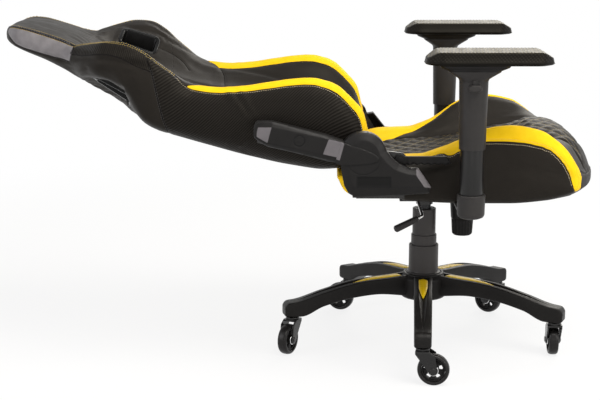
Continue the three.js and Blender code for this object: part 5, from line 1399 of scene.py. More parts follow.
def side_cover(hand, name):
    """Cover over the recliner, with a round end about the pivot and a blank recess for a label."""
    low = SEAT_FLOOR + 21
    if hand < 0:
        top = [(109, low + 54), (91, low + 56), (71, low + 64), (63, low + 70.5), (55, low + 78),
               (49, low + 87)]
        top += [(q[0] - PIVOT_X, q[1]) for q in arc(PIVOT_X, PIVOT_Z, ROUND_END[hand], 12, 200, 40)]
    else:
        top = [(109, low + 48), (71, low + 50), (43, PIVOT_Z + 4), (31, PIVOT_Z + 2)]
        top += [(q[0] - PIVOT_X, q[1]) for q in arc(PIVOT_X, PIVOT_Z, ROUND_END[hand], 8, 200, 30)]
    corners = [(-16, low), (87, low + 4), (129, low + 7), (133, low + 19)] + top + [
        (-40, low + 39), (-36, low + 21), (-28, low + 7)]
    outline = [(PIVOT_X + x, z) for x, z in corners]
    ring = arc(PIVOT_X, PIVOT_Z, GROOVE[hand], 205, 318, 24)
    label = [(-155, 402), (-89, 402), (-89, 422), (-155, 422)]
    wide = profile([(-190, 15), (-120, 15), (-95, 13), (-60, 11), (-40, 10), (-10, 8)])

    def height(q):
        x, z = q[:, 0], q[:, 1]
        rim = outline_distance(q, outline)
        slope = np.minimum(chamfer(rim, wide(x), 8.5), -9.0 * np.clip((402 - z) / 20, 0, 1))
        return slope - 0.7 * bump(curve_distance(x, z, ring), 1.5) - 1.4 * smooth(label_recess(q), -0.6, 0.6)

    # painted highlight: the pale field lies along the upper and front chamfers, where the overhead light would
    # shine
    def pale(q):
        end = np.minimum(10.5 - outline_distance(q, outline), q[:, 0] + 40)
        return np.minimum(end, (q[:, 1] - 401) * 0.9 + (q[:, 0] + 20) * 0.2)

    # field of the label recess, which the material paints darker
    def label_recess(q):
        return signed_inside(q, label)

    # painted shade: dark lines along the groove round the pivot and the edge of the label recess, where shadow
    # would lie
    def line(q):
        x, z = q[:, 0] - PIVOT_X, q[:, 1] - PIVOT_Z
        off = np.clip(-x * 0.2 - 3, 0, 9) + np.clip(z * 0.3, 0, 9) + np.clip(x * 0.3 - 9, 0, 9)
        around = np.hypot(x, z) - GROOVE[hand]
        around = around + np.sign(around) * off
        edge = label_recess(q)
        return np.where(abs(edge) < abs(around), edge, around)

    plate = faced_plate(outline, hand * COVER_IN, hand * COVER_OUT, height, spacing=1.9, wall=3)
    cover = f"side_cover_{name}"
    moulded_cover(f"{cover}_moulding", [(*plate, (pale, label_recess, line))], "seat", cover)


def bracket_cover(hand, name):
    """Cover of the back's hinge arm. Its tongue lies over the side cover and turns about the pivot with it."""
    reach = ROUND_END[hand] + 1.5
    round_end = arc(0, 0, reach, 22, -30, 14)
    last = round_end[-1]
    outline = round_end + [(last[0] + 2, last[1] - 0.5), (74, -26), (183, -30.5), (203, -25.5), (213, -21),
                           (216, -16), (219.5, -2), (219, 8), (216, 12), (189, 19.3), (80, 21)]
    facet = 76 if hand < 0 else 64

    def face_level(s):
        return -3 + 4.8 * np.clip((facet - s) / (facet - reach + 4), 0, 1) - 7 * np.clip((s - 186) / 30, 0, 1)

    def flat_part(s):
        """Upper and lower edges of the flat face between the two bevels."""
        high = 15.2 - (s - 79) * 0.058 - 0.25 * np.clip(s - 187, 0, 40)
        return high, -15.8 - (s - 76) * 0.065 + np.clip(s - 185, 0, 40) * 0.3

    def height(q):
        rim = outline_distance(q, outline)
        s, n = q[:, 0], q[:, 1]
        near_end = np.hypot(s, n) - reach
        high, low = flat_part(s)
        slope = -6 * np.clip((n - high) / (21.5 - high), 0, 1)
        slope = slope - 7 * np.clip((low - n) / (low + 27 + s * 0.02), 0, 1)
        slope = np.where(near_end < 2, np.minimum(slope * 0.5, 0), slope)
        slope = slope - 1.4 * np.clip(1 - rim / 2.2, 0, 1) ** 2
        cap = np.hypot(s - 128, n + 3)
        lid = -1.3 * bump(cap - 10.5, 1.5) - 0.8 * bump(cap - 5.5, 1.6) + 0.3 * smooth(9.5 - cap, 0, 2)
        return slope + face_level(s) + lid

    def pale(q):
        s, n = q[:, 0], q[:, 1]
        far_end = np.minimum(s - 186, 213.5 + 0.2 * n - s)
        near_end = np.minimum(facet - 0.5 - s - 0.1 * n, np.hypot(s, n) - reach + 2)
        high, low = flat_part(s)
        return np.minimum(np.maximum(far_end, near_end), np.minimum(n - low, high - n) + 0.4)

    def none(q):
        return np.full(len(q), -3.0)

    # painted shade: a dark line round the lid's groove
    def lid(q):
        return np.hypot(q[:, 0] - 128, q[:, 1] + 3) - 10.2

    plate = faced_plate(outline, hand * COVER_IN, hand * COVER_OUT, height, spacing=1.9, wall=3,
                        place=from_back)
    if hand < 0:
        tongue = [(52, 18), (40, 17), (28, 15.5), (9, 15), (-14, 12), (-27, 8), (-31, 2.5), (-28, -3.5),
                  (-13, -12), (20, -23), (38, -27), (50, -26)]
    else:
        tongue = [(34, 12), (18, 11.5), (0, 10), (-12, 7), (-17, 1), (-12, -5), (0, -9), (18, -14), (32, -16)]
    tongue = spline([tongue[0], *tongue, tongue[-1]], 80)

    def lying(q):
        rim = np.clip(1 - outline_distance(q, tongue) / 1.6, 0, 1)
        return 1.7 - 1.4 * rim ** 2 - np.clip(q[:, 0] - reach + 3, 0, 9) * 0.2

    def end(q):
        inside = np.minimum(q[:, 0] - (42 if hand < 0 else 26), outline_distance(q, tongue) - 0.4)
        return np.minimum(inside, 18.6 + q[:, 1])

    # painted shade: a dark line round the tongue's outline, where it lies over the side cover
    def tongue_painted_shade(q):
        return outline_distance(q, tongue) + np.clip(q[:, 0] - 38, 0, 9)

    lip = faced_plate(tongue, hand * (COVER_OUT + 0.3), hand * (COVER_OUT + 0.5), lying, spacing=1.9,
                      place=from_back)
    cover, parts = f"bracket_cover_{name}", [(*plate, (pale, none, lid)), (*lip, (end, none, tongue_painted_shade))]
    moulded_cover(f"{cover}_moulding", parts, "back", cover)


def recline_lever():
    """Flat lever beside the right cover, with a waved grip, its stub and its bolt."""
    low, top, tip = 440.5, 457.5, 32
    axis_x, axis_z, wave = -70, 450, 7.0
    waves = [(x, low + 1.3 - 1.3 * math.cos((x + 50) / wave * math.pi)) for x in np.arange(-50, tip - 1, 1.6)]
    outline = waves + [(tip, low + 1), (tip - 8, top - 2), (tip - 11, top), (-54, top)] + arc(
        axis_x, axis_z, 11.5, 42, 305, 30) + [(-56, low + 0.5)]

    def height(q):
        rim = outline_distance(q, outline)
        grip = smooth(q[:, 0], -58, -53)
        rib = 0.4 * np.cos((q[:, 0] + 50) / wave * math.pi) * smooth(6 - (q[:, 1] - low), 0, 4) * grip
        edge = -1.8 * (1 - np.sqrt(np.clip(1 - (1 - np.clip(rim / 2.2, 0, 1)) ** 2, 0, 1)))
        return edge + rib + 1.2 * grip - 0.6

    def turned(section, sides):
        points, faces = lathe(section, sides)
        return np.column_stack([points[:, 0] + axis_x, points[:, 2], points[:, 1] + axis_z]), faces

    parts = [faced_plate(outline, -255.9, -261.9, height, spacing=1.8)[:2],
             turned([(0, -256.5), (5, -256.5), (5, -250.6), (0, -250.6)], 24),
             turned(rounded([(0, -262.6), (6.5, -262.6), (6.5, -260), (0, -260)], 1.0), 32)]
    obj = make_object("recline_lever_moulding", *joined(parts), DARK_PLASTIC, sharp=40)
    place_on(obj, "recline_handle", ["recline_lever"])


def slot_bezel(hand, name):
    """Liner of a belt slot, with a lip on the back's front and on its rear."""
    def level(ring, columns):
        out = []
        for s, y in ring:
            across, up = BACK_SURFACE[BACK_SKIN.row(s), columns, 1:].T
            out.append(np.interp(y, np.maximum.accumulate(across), up))
        return np.array(out)

    front = slice(None, BACK_SKIN.crest - 1, -1)
    rear = slice(0, BACK_SKIN.crest - 20)
    front_lip = ((4.5, -1.0), (4.2, 0.8), (2.6, 2.2), (0.4, 2.8), (-2.2, 2.4), (-3.8, 0.8), (-4.3, -2.0))
    rear_lip = ((-4.3, 2.0), (-3.8, -0.8), (-2.2, -2.2), (0.4, -2.6), (2.6, -2.0), (4.2, -0.6), (4.5, 1.0))
    rows = []
    for columns, lips in ((front, front_lip), (rear, rear_lip)):
        for grow, lip in lips:
            height = level(slot_ring(max(grow, 0), 7), columns) + lip
            rows.append(np.column_stack([slot_ring(grow, 7) * [1, hand], height]))
    points, faces = ring_body(rows)
    obj = make_object(f"slot_bezel_{name}_moulding", from_back(points), faces, GLOSS_PLASTIC)
    place_on(obj, "back", [f"slot_bezel_{name}"])


for HAND, NAME in ((-1, "right"), (1, "left")):
    side_cover(HAND, NAME)
    bracket_cover(HAND, NAME)
    slot_bezel(HAND, NAME)
recline_lever()


# ------------------------------------------------------------------ base and castors

BASE_TURN, LEG_STEP = -94.2, 72  # degrees
CASTOR_TURNS = (-8.8, 87.8, 140.4, 158.4, -116.4)
TRAIL, WHEEL_R, STEM_CIRCLE = 22, 32.5, 291
LEG_ROOT, LEG_TIP = 30, 310
LEG_TOP, LEG_BOTTOM = (109.3, 157), (78.3, 117)  # lowest and highest level of a leg's top and underside
LEG_WIDTH = (40, 35)  # at its root and its tip
GROOVE_HALF, GROOVE_DEEP = 10, 5  # of the inlay's groove at its widest
leg_top_shape = profile([(0, 1), (0.15, 0.9), (0.3, 0.84), (0.45, 0.74), (0.7, 0.39), (0.91, 0.04), (0.97, 0),
                         (1, -0.1)])
leg_bottom_shape = profile([(0, 0.75), (0.12, 0.9), (0.27, 1), (0.45, 0.9), (0.7, 0.5), (0.87, 0), (1, 0)])
groove_shape = profile([(0, 1), (0.4, 0.95), (0.75, 0.4), (0.9, 0.05), (1, 0)])


def turned_about(points, degrees, x=0.0, y=0.0):
    """Points turned about the upright axis, then moved."""
    a = math.radians(degrees)
    p = np.asarray(points, float)
    return np.column_stack([p[:, 0] * math.cos(a) - p[:, 1] * math.sin(a) + x,
                            p[:, 0] * math.sin(a) + p[:, 1] * math.cos(a) + y, p[:, 2]])


def leg_levels(along):
    """A leg's top, underside, half width and groove's half width at a place, and the place's share of it."""
    share = (along - LEG_ROOT) / (LEG_TIP - LEG_ROOT)
    top = lerp(*LEG_TOP, float(leg_top_shape(share)))
    bottom = lerp(*LEG_BOTTOM, float(leg_bottom_shape(share)))
    return top, bottom, lerp(*LEG_WIDTH, share) / 2, GROOVE_HALF * float(groove_shape(share)), share


def star_leg():
    """One leg along X, rounded off over its last 10 mm."""
    rings = []
    end_places = 300 + 10 * np.sin(np.linspace(0.2, 1, 6) * math.pi / 2)
    places = np.concatenate([np.linspace(LEG_ROOT, 300, 46), end_places])
    for along in places:
        top, bottom, half, groove, share = leg_levels(min(along, LEG_TIP))
        end = math.sqrt(max(0.0, 1 - max(0.0, (along - 300) / 10.4) ** 2))
        half, top, bottom = half - 4 * (1 - end), top - 5 * (1 - end), bottom + 5 * (1 - end)
        deep = GROOVE_DEEP * groove / GROOVE_HALF
        ridge = 0.9 * smooth(groove, 0.3, 2) * smooth(share, 0.0, 0.1)
        right = [(0, bottom), (half - 5, bottom)]
        right += arc(half - 4.5, bottom + 4.5, 4.5, -80, 0, 4)
        right += arc(half - 3.2, top - 3.2, 3.2, 0, 80, 4)
        right += [(max(groove + 4.0, 0.2), top + 0.1), (max(groove + 1.8, 0.15), top + ridge),
                  (max(groove, 0.1), top + ridge * 0.6), (max(groove * 0.94, 0.05), top - deep * 0.25),
                  (groove * 0.5, top - deep * 0.75), (0, top - deep)]
        ring = right + [(-y, z) for y, z in right[-2:0:-1]]
        rings.append([(along, y, z) for y, z in ring])
    return capped_tube(rings)


def star_base():
    leg_points, leg_faces = star_leg()
    parts = [(turned_about(leg_points, BASE_TURN + LEG_STEP * i), leg_faces) for i in range(5)]
    section = rounded([(23, 104), (45, 104), (50, 109), (50, 148), (43, 156.6), (37.4, 157), (37.4, 155.5),
                       (23, 155.5), (23, 104)], 2.2)
    parts.append(lathe(section, 96))
    collar = rounded([(38, 155), (44.5, 155), (43.5, 158.2), (39, 158.6), (38, 155)], 1.2)
    parts.append(lathe(collar, 96))
    obj = make_object("star_base_moulding", *joined(parts), NYLON, sharp=35)
    place_on(obj, "base", ["star_base"])

    blade = profile([(0, 0.25), (0.08, 0.9), (0.16, 1), (0.5, 0.98), (0.75, 0.72), (0.92, 0.36), (1, 0.06)])
    rings = []
    for along in np.linspace(50, 158, 36):
        wide = float(blade((along - 50) / 108))
        top, _, _, groove, _ = leg_levels(along)
        deep = GROOVE_DEEP * groove / GROOVE_HALF
        floor = top - deep + 0.6
        y, edge = wide * (groove - 0.3), floor + deep * wide
        right = [(0, floor), (y * 0.5, lerp(floor, edge, 0.5)), (y, edge), (y * 0.92, edge + 0.8),
                 (y * 0.5, edge + 1.3), (0, edge + 1.6)]
        ring = right + [(-a, b) for a, b in right[-2:0:-1]]
        rings.append([(along, a, b) for a, b in ring])
    points, faces = capped_tube(rings)
    for i in range(5):
        turned = turned_about(points, BASE_TURN + LEG_STEP * i)
        obj = make_object(f"leg_insert_{i + 1}_moulding", turned, faces, INLAY_PLASTIC, sharp=50)
        place_on(obj, "base", [f"leg_insert_{i + 1}"])


def on_axle(part):
    """A turned body laid on the wheel's axle, in the castor's own frame."""
    points, faces = part
    return np.column_stack([points[:, 0] + TRAIL, points[:, 2], points[:, 1] + WHEEL_R]), faces


def castor_shapes():
    tyre = rounded([(24, -9.3), (27.5, -10.5), (30.6, -9.0), (32.2, -5.2), (32.5, 0), (32.2, 5.2), (30.6, 9.0),
                    (27.5, 10.5), (24, 9.3), (24, -9.3)], 1.6)
    rim = rounded([(19.6, -6.2), (21.2, -7.6), (23.6, -7.6), (23.6, 7.6), (21.2, 7.6), (19.6, 6.2),
                   (19.6, -6.2)], 0.8)
    boss = rounded([(4.3, -12.3), (8.6, -12.3), (9.6, -10.5), (9.6, 10.5), (8.6, 12.3), (4.3, 12.3),
                    (4.3, -12.3)], 0.8)
    hub = [on_axle(lathe(rim, 64)), on_axle(lathe(boss, 40))]
    for i in range(5):
        middle = 2 * math.pi * i / 5 + math.pi / 2 + math.pi / 5
        rings = []
        for r, half_width, half_depth in ((8.5, 5.0, 5.6), (12, 4.6, 4.6), (16, 5.4, 4.6), (21, 8.6, 5.6)):
            section = soft_rectangle(2 * half_width, 2 * half_depth, 1.6, 0, 24)
            a = middle + section[:, 0] / max(r, 1)
            rings.append(np.column_stack([TRAIL + r * np.cos(a), section[:, 1], WHEEL_R + r * np.sin(a)]))
        hub.append(capped_tube(rings))
    ring = [(10.0 + 1.0 * math.cos(a), 10.9 + 0.9 * math.sin(a)) for a in np.linspace(0, 2 * math.pi, 13)]
    ring[-1] = ring[0]
    rings = [on_axle(lathe([(r, z * side) for r, z in ring], 40)) for side in (1, -1)]

    fork = []
    for side in (1, -1):
        ear = arc(TRAIL, WHEEL_R, 9, -150, 20, 12)
        outline = ear + [(26, 64), (14, 71.9), (-14, 71.9), (-14, 66), (-11, 62)]
        rounded_edge = lambda q: -0.9 * (1 - np.clip(outline_distance(q, outline) / 1.2, 0, 1)) ** 2
        fork.append(faced_plate(outline, side * 12.7, side * 15.7, rounded_edge, spacing=2.2)[:2])
    fork.append(capped_tube([soft_rectangle(28, 31.2, 2, z, 40) for z in (68, 72)]))
    fork.append(lathe(rounded([(0, 71.5), (14, 71.5), (14, 76.5), (9, 78), (0, 78)], 1.4), 40))
    fork.append(lathe([(0, 77.5), (5.5, 77.5), (5.5, 103), (4.5, 104.2), (0, 104.2)], 24))
    fork.append(on_axle(lathe([(0, -15.8), (4, -15.8), (4, 15.8), (0, 15.8)], 20)))
    for side in (1, -1):
        head = rounded([(0, side * 17.2), (5.4, side * 17.2), (6.4, side * 15.6), (0, side * 15.6)], 0.6)
        fork.append(on_axle(lathe(head, 32)))
    return {"tyre": (on_axle(lathe(tyre, 96)), TYRE, "castor_tyre"),
            "hub": (joined(hub), DARK_PLASTIC, "castor_hub"),
            "ring": (joined(rings), CHROME, None),
            "fork": (joined(fork), FORK_PAINT, "castor_metal")}


def castors():
    shapes = castor_shapes()
    first = {}
    for number, turn in enumerate(CASTOR_TURNS, 1):
        azimuth = math.radians(BASE_TURN + LEG_STEP * (number - 1))
        x, y = COLUMN_X + STEM_CIRCLE * math.cos(azimuth), STEM_CIRCLE * math.sin(azimuth)
        place = Vector((x * MM, y * MM, 0))
        for kind, ((points, faces), look, slot) in shapes.items():
            name = f"castor_{kind}_{number}_shape"
            if kind in first:
                obj = bpy.data.objects.new(name, first[kind])
                bpy.context.scene.collection.objects.link(obj)
            else:
                obj = make_object(name, np.asarray(points) * MM, faces, look, in_row=True, sharp=38)
                first[kind] = obj.data
            obj.matrix_world = Matrix.Translation(place) @ Matrix.Rotation(math.radians(turn), 4, "Z")
            body = f"castor_{number}" if kind == "fork" else f"wheel_{number}"
            replaced = [] if kind == "ring" else [f"castor_{kind}_{number}"]
            place_on(obj, body, replaced)


star_base()
castors()


# ------------------------------------------------------------------ gas column and mechanism

def turned_piece(name, sections, look, body, replaced, x=0.0):
    parts = [lathe(section, 72, x) for section in sections]
    place_on(make_object(name, *joined(parts), look, sharp=40), body, replaced)


def open_tube(outer, inner, low, high, lid=None, lid_hole=None):
    """Section of a tube with rounded edges, and a lid at its top with a hole."""
    if lid is None:
        loop = [(inner, low), (outer, low), (outer, high), (inner, high), (inner, low)]
    else:
        loop = [(inner, low), (outer, low), (outer, high), (lid_hole, high), (lid_hole, high - lid),
                (inner, high - lid), (inner, low)]
    return rounded(loop, 0.8, 5)


def column():
    turned_piece("gas_cylinder_shape",
                 [open_tube(22.5, 20.5, 99, 284, 4, 14.3), [(0, 99), (22, 99), (22, 103), (0, 103)]],
                 PISTON_PAINT, "base", ["gas_cylinder"])
    turned_piece("gas_piston_shape",
                 [rounded([(0, 112), (20.2, 112), (20.2, 128), (14, 128), (14, 335.2), (0, 335.2)], 0.8)],
                 PISTON_PAINT, "column", ["gas_piston"])
    turned_piece("column_cover_lower_shape",
                 [rounded([(22.8, 157.3), (36.7, 157.3), (36.7, 159.4), (32.4, 161.2), (31.7, 163),
                           (31.7, 219.2), (31.2, 220), (28.9, 220), (28.9, 160.3), (22.8, 160.3),
                           (22.8, 157.3)], 0.7, 4)],
                 COLUMN_PLASTIC, "base", ["column_cover_lower"])
    turned_piece("column_cover_middle_shape", [open_tube(27.3, 25.5, 160.6, 242)], COLUMN_PLASTIC,
                 "middle_cover", ["column_cover_middle"])
    turned_piece("column_cover_upper_shape", [open_tube(24.9, 23.1, 176, 299, 3, 14.3)], COLUMN_PLASTIC,
                 "column", ["column_cover_upper"])


def tension_knob():
    knob_x, sides, top, low = 82, 280, 277.4, 240.4
    angles = np.linspace(0, 2 * math.pi, sides, endpoint=False)
    rib = np.clip(0.5 + 1.1 * np.cos(angles * 20), 0, 1)
    rings = []
    for radius, z, share in ((4, low, 0), (15, low, 0), (18.5, low + 0.8, 0), (20.5, low + 2.6, 0.3),
                             (21.7, low + 5, 1), (22.4, low + 14, 1), (23.3, top - 7, 1),
                             (23.5, top - 3.5, 0.9), (23.3, top - 1, 0), (22.6, top, 0), (12, top, 0)):
        r = radius - 1.4 * share * (1 - rib)
        rings.append(np.column_stack([knob_x + r * np.cos(angles), r * np.sin(angles), np.full(sides, z)]))
    obj = make_object("tension_knob_shape", *capped_tube(rings), DARK_PLASTIC, sharp=45)
    place_on(obj, "knob", ["tension_knob"])
    turned_piece("spring_cup_shape", [rounded([(5.4, 277.7), (24.5, 277.7), (27.5, 322.7), (25.5, 322.7),
                                               (22.5, 280), (5.4, 280), (5.4, 277.7)], 0.8)],
                 DARK_PLASTIC, "mechanism", ["spring_cup"], x=knob_x)


def height_lever():
    fulcrum, bend = np.array([-22.3, -48, 338.2]), np.array([-17, -172, 318.2])
    way = unit(bend - fulcrum)
    grip_way = unit(np.array([-math.cos(math.radians(24)), -0.2, -math.sin(math.radians(24))]))
    inner = fulcrum + way * -23.6
    start = bend + grip_way * 10
    turn = spline([bend - way * 8, bend - way * 2.5 + grip_way * 1.2, bend + grip_way * 7], 8)
    path = np.vstack([np.linspace(inner, bend - way * 9, 8), turn,
                      np.linspace(bend + grip_way * 8, start + grip_way * 20, 5)])
    rod = make_object("height_lever_rod_shape", *tube_along(path, 3.2, 20), ZINC)
    place_on(rod, "height_lever", ["height_lever_rod"])
    shares = np.array([0, 0.02, 0.06, 0.2, 0.5, 0.8, 0.97, 1.0, 1.03, 1.06])
    radii = [4.2, 5.0, 5.6, 6.0, 6.3, 6.6, 6.7, 6.5, 5.6, 3.6]
    points = start + grip_way * (shares * 51)[:, None]
    side = unit(np.cross(grip_way, [0, 0, 1]))
    top = unit(np.cross(side, grip_way))
    rings = []
    for c, r in zip(points, radii):
        flat = soft_rectangle(2 * r * 1.05, 2 * r * 0.95, r * 0.55, 0, 32)
        rings.append([c + side * u + top * v for u, v, _ in flat])
    grip = make_object("height_lever_grip_shape", *capped_tube(rings), ARM_PLASTIC, sharp=50)
    place_on(grip, "height_lever", ["height_lever_grip"])


def dressed(node, look, bevel):
    """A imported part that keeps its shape: a better surface and softened edges."""
    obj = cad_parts[node]
    obj.data.materials.clear()
    obj.data.materials.append(look)
    edge = obj.modifiers.new("edges", "BEVEL")
    edge.width, edge.segments = bevel * MM, 2
    edge.limit_method, edge.angle_limit = "ANGLE", math.radians(40)
    edge.harden_normals = False


column()
tension_knob()
height_lever()
for NODE in ("mechanism_housing", "tilt_plate", "seat_frame", "back_frame"):
    dressed(NODE, FRAME_PAINT, 1.2)
for NODE in ("tilt_pin", "tension_bolt", "tension_spring", "recline_pin_left", "recline_pin_right"):
    dressed(NODE, ZINC, 0.6)


# ------------------------------------------------------------------ armrests

ARM_X, ARM_Y = 66, 306  # place of the armrests' posts
FOOT_FROM = 150  # where their foot plates start under the seat, across
PAD_AHEAD, PAD_HALF, PAD_HALF_WIDE, PAD_CUT = 28.5, 123, 50, 26
PAD_LOW, PAD_HIGH = 644.9, 670.4


def armrest(hand, name):
    x, y = ARM_X, hand * ARM_Y
    # bracket: foot under the seat, collar and post
    reach = ARM_Y - FOOT_FROM
    foot = capped_tube([soft_rectangle(50 - inset, reach - inset, 5, z, 48, x, hand * (FOOT_FROM + reach / 2))
                        for inset, z in ((1.2, 353.7), (0, 354.4), (0, 359), (1.2, 359.7))])
    collar = lathe(rounded([(0, 343.7), (17, 343.7), (24.5, 347), (26.8, 352), (27.5, 389.6), (26.6, 391),
                            (22.9, 391), (0, 391)], 1.6, 5), 72, x, y)
    post = lathe(rounded([(20.5, 390), (23, 390), (23, 521), (20.5, 521), (20.5, 390)], 0.6), 72, x, y)
    obj = make_object(f"arm_bracket_{name}_shape", *joined([foot, collar]), ARM_PLASTIC, sharp=40)
    place_on(obj, "seat", [f"arm_bracket_{name}"])
    obj = make_object(f"arm_post_{name}_shape", *post, POST_PAINT, sharp=40)
    place_on(obj, "seat", [])

    # sleeve with its flared head
    tube = [(23.4, 480), (25.2, 480), (25.6, 481), (28, 611), (28, 616), (23.4, 616), (23.4, 480)]
    body = lathe(rounded(tube, 0.8), 72, x, y)
    rings = []
    for length, width, corner, z in ((50, 50, 24.5, 609), (55.4, 55.4, 27, 611.5), (57, 56.4, 26, 614),
                                     (61, 57.5, 20, 618), (80, 62, 15, 625), (95, 65, 12, 630),
                                     (99, 66, 11, 631.6), (100, 66, 11, 632.6), (99.4, 65.4, 11, 633)):
        rings.append(soft_rectangle(length, width, corner, z, 72, x, y))
    rest = []
    for inset, off in ((0, 26.5), (0, 29.6), (0.8, 30.4)):
        flat = soft_rectangle(9 - inset, 11 - inset, 1.2, 0, 24)
        rest.append(np.column_stack([x + flat[:, 0], np.full(24, hand * off) + y, 611.5 + flat[:, 1]]))
    sleeve = joined([body, capped_tube(rings), capped_tube(rest)])
    obj = make_object(f"arm_sleeve_{name}_shape", *sleeve, ARM_PLASTIC, sharp=42)
    place_on(obj, f"arm_sleeve_{name}", [f"arm_sleeve_{name}"])

    outline = arc(x + 6, 601, 7, -90, 90, 14) + arc(x - 6, 601, 7, 90, 270, 14)

    def crown(q):
        rim = outline_distance(q, outline)
        return smooth(rim, 0, 5) - 2.2 * (1 - np.clip(rim / 2.4, 0, 1)) ** 2

    points, faces, _ = faced_plate(outline, hand * 28.3 + y, hand * 36.6 + y, crown, spacing=1.2)
    obj = make_object(f"arm_button_{name}_shape", points, faces, ARM_PLASTIC)
    place_on(obj, f"arm_button_{name}", [f"arm_button_{name}"])

    # slider and swivel plate
    plate = capped_tube([soft_rectangle(length, width, 12, z, 72, x, y) for length, width, z in
                         ((99, 69, 633.3), (100.5, 70.4, 633.9), (122, 75, 638.4), (124, 76, 638.9),
                          (123.4, 75.4, 639.3))])
    spigot = lathe([(0, 639), (15, 639), (15, 644.2), (0, 644.2)], 48, x, y)
    obj = make_object(f"arm_slider_{name}_shape", *joined([plate, spigot]), DARK_PLASTIC, sharp=40)
    place_on(obj, f"arm_slider_{name}", [f"arm_slider_{name}"])
    swivel = [soft_rectangle(length, width, 15, z, 72, x, y) for length, width, z in
              ((129, 79, 639.6), (130.4, 80.2, 640.2), (135, 83.4, 643.8), (136, 84, 644.2),
               (135.4, 83.4, 644.6))]
    hole = [np.column_stack([x + 15.3 * np.cos(a), y + 15.3 * np.sin(a), np.full(72, z)])
            for a in [np.linspace(0, 2 * math.pi, 72, endpoint=False)] for z in (644.6, 639.6)]
    obj = make_object(f"arm_swivel_{name}_shape", *ring_body(swivel + hole), DARK_PLASTIC, sharp=40)
    place_on(obj, f"arm_swivel_{name}", [f"arm_swivel_{name}"])

    # pad: chamfered ends, ribs over its top
    middle = x + PAD_AHEAD
    a, b = PAD_HALF, PAD_HALF_WIDE
    corners = [(a, -b + PAD_CUT), (a, b - PAD_CUT), (a - PAD_CUT, b), (-a + PAD_CUT, b), (-a, b - PAD_CUT),
               (-a, -b + PAD_CUT), (-a + PAD_CUT, -b), (a - PAD_CUT, -b)]
    outline = [(middle + u, y + v) for u, v in rounded(corners + corners[:1], 12, 6)[:-1]]
    rim = resampled(outline, 2.4)

    def level(q):
        """Height of the pad's top, which slopes off at both ends."""
        return PAD_HIGH - 12.5 * smooth(abs(q[:, 0] - middle), 92, PAD_HALF) ** 1.2

    levels = []
    for inset, share in ((4.5, 0), (3.0, 0.03), (0.8, 0.12), (0, 0.2), (0, 0.25), (1.0, 0.29), (2.6, 0.84),
                         (3.2, 0.94), (4.4, 1)):
        ring = offset_outline(rim, inset)
        levels.append(np.column_stack([ring, PAD_LOW + share * (level(ring) - PAD_LOW)]))
    top, tris, count = filled(levels[-1][:, :2], 1.8)
    edge = outline_distance(top, levels[-1][:, :2])
    rib = np.sin((top[:, 0] + RIB_SLANT * top[:, 1]) * 2 * math.pi / RIB_PITCH)
    height = level(top) + (0.5 * rib + 0.3) * smooth(edge, 0, 3)
    underside, under_tris, _ = filled(levels[0][:, :2], 9)
    start = len(levels) * count
    faces = grid_faces(len(levels), count).tolist() + fill_faces(tris, top, count, start - count, start)
    faces += fill_faces(under_tris, underside, count, 0, start + len(top) - count)
    points = np.vstack([*levels, np.column_stack([top, height])[count:],
                        np.column_stack([underside, np.full(len(underside), PAD_LOW)])[count:]])
    obj = make_object(f"arm_pad_{name}_shape", points, faces, PAD_LOOK, sharp=50)
    place_on(obj, f"arm_pad_{name}", [f"arm_pad_{name}"])


for HAND, NAME in ((-1, "right"), (1, "left")):
    armrest(HAND, NAME)


# ------------------------------------------------------------------ lights, floor and camera

def camera():
    data = bpy.data.cameras.new("camera")
    data.lens = 90.4
    data.sensor_width = 36
    obj = bpy.data.objects.new("camera", data)
    bpy.context.scene.collection.objects.link(obj)
    down, aside = math.radians(11.80), math.radians(0.286)
    way = Vector((-math.sin(aside) * math.cos(down), math.cos(aside) * math.cos(down), -math.sin(down)))
    obj.location = (COLUMN_X * MM - 0.2513, -3.1669, 0.9772)
    obj.rotation_euler = way.to_track_quat("-Z", "Y").to_euler()
    bpy.context.scene.camera = obj


def soft_light(name, place, target, size, power, color):
    data = bpy.data.lights.new(name, "AREA")
    data.energy, data.color = power, color
    data.shape, data.size, data.size_y = "RECTANGLE", size, size
    obj = bpy.data.objects.new(name, data)
    obj.location = place
    obj.rotation_euler = (Vector(target) - Vector(place)).to_track_quat("-Z", "Y").to_euler()
    bpy.context.scene.collection.objects.link(obj)


def seen_ray(tree, path):
    """1 where the camera, a mirror or glass looks, 0 for the light that falls on the object."""
    value = path.outputs["Is Camera Ray"]
    for other in ("Is Glossy Ray", "Is Transmission Ray"):
        most = tree.nodes.new("ShaderNodeMath")
        most.operation = "MAXIMUM"
        tree.links.new(value, most.inputs[0])
        tree.links.new(path.outputs[other], most.inputs[1])
        value = most.outputs[0]
    return value


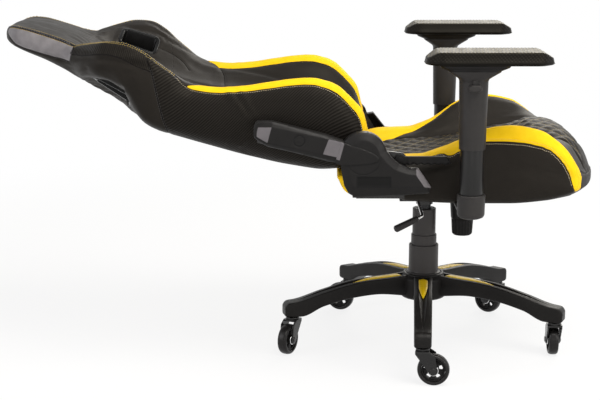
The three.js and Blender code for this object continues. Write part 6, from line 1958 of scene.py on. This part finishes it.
def studio():
    scene = bpy.context.scene
    scene.view_settings.view_transform = "Standard"
    middle = (COLUMN_X * MM, 0, 0.45)
    soft_light("overhead", (middle[0] + 0.6, -1.0, 2.5), middle, 1.5, 66, (1.0, 0.96, 0.9))
    soft_light("key", (middle[0] + 2.1, -2.0, 1.2), middle, 1.2, 26, (1.0, 0.97, 0.93))
    soft_light("side", (middle[0] - 2.4, -1.3, 1.2), middle, 1.2, 20, (0.98, 0.97, 1.0))
    soft_light("front", (middle[0] - 0.2, -2.8, 0.5), middle, 1.4, 4, (1.0, 0.98, 0.95))
    soft_light("rim", (middle[0] + 0.8, 2.3, 1.7), middle, 1.8, 34, (1.0, 0.95, 0.86))
    world = bpy.data.worlds.new("studio")
    scene.world = world
    world.use_nodes = True
    tree = world.node_tree
    tree.nodes.clear()
    out = tree.nodes.new("ShaderNodeOutputWorld")
    white, dim = tree.nodes.new("ShaderNodeBackground"), tree.nodes.new("ShaderNodeBackground")
    white.inputs["Color"].default_value, white.inputs["Strength"].default_value = (1, 1, 1, 1), 1.0
    dim.inputs["Color"].default_value, dim.inputs["Strength"].default_value = (1, 1, 1, 1), 0.3
    path, mix = tree.nodes.new("ShaderNodeLightPath"), tree.nodes.new("ShaderNodeMixShader")
    tree.links.new(seen_ray(tree, path), mix.inputs[0])
    tree.links.new(dim.outputs[0], mix.inputs[1])
    tree.links.new(white.outputs[0], mix.inputs[2])
    tree.links.new(mix.outputs[0], out.inputs["Surface"])

    floor = Look("floor_paper", (0.9, 0.9, 0.9), 0.9, specular=0.0)
    glow, path = floor.tree.nodes.new("ShaderNodeEmission"), floor.tree.nodes.new("ShaderNodeLightPath")
    glow.inputs["Color"].default_value, glow.inputs["Strength"].default_value = (1, 1, 1, 1), 1.0
    mixed = floor.tree.nodes.new("ShaderNodeMixShader")
    far = floor.node("ShaderNodeVectorMath", "Value", {"operation": "LENGTH"}, _0=floor.coordinates)
    far = floor.ranged(far, 0.9, 2.4, 0.84, 1.0, "SMOOTHSTEP")
    share = floor.times(seen_ray(floor.tree, path), far)
    floor.tree.links.new(share, mixed.inputs[0])
    floor.tree.links.new(floor.bsdf.outputs[0], mixed.inputs[1])
    floor.tree.links.new(glow.outputs[0], mixed.inputs[2])
    end = next(n for n in floor.tree.nodes if n.type == "OUTPUT_MATERIAL")
    floor.tree.links.new(mixed.outputs[0], end.inputs["Surface"])
    x = COLUMN_X * MM
    points = [(x - 12, -12, 0), (x + 12, -12, 0), (x + 12, 12, 0), (x - 12, 12, 0)]
    make_object("floor", points, [(0, 1, 2, 3)], floor.material, in_row=True)


camera()
studio()
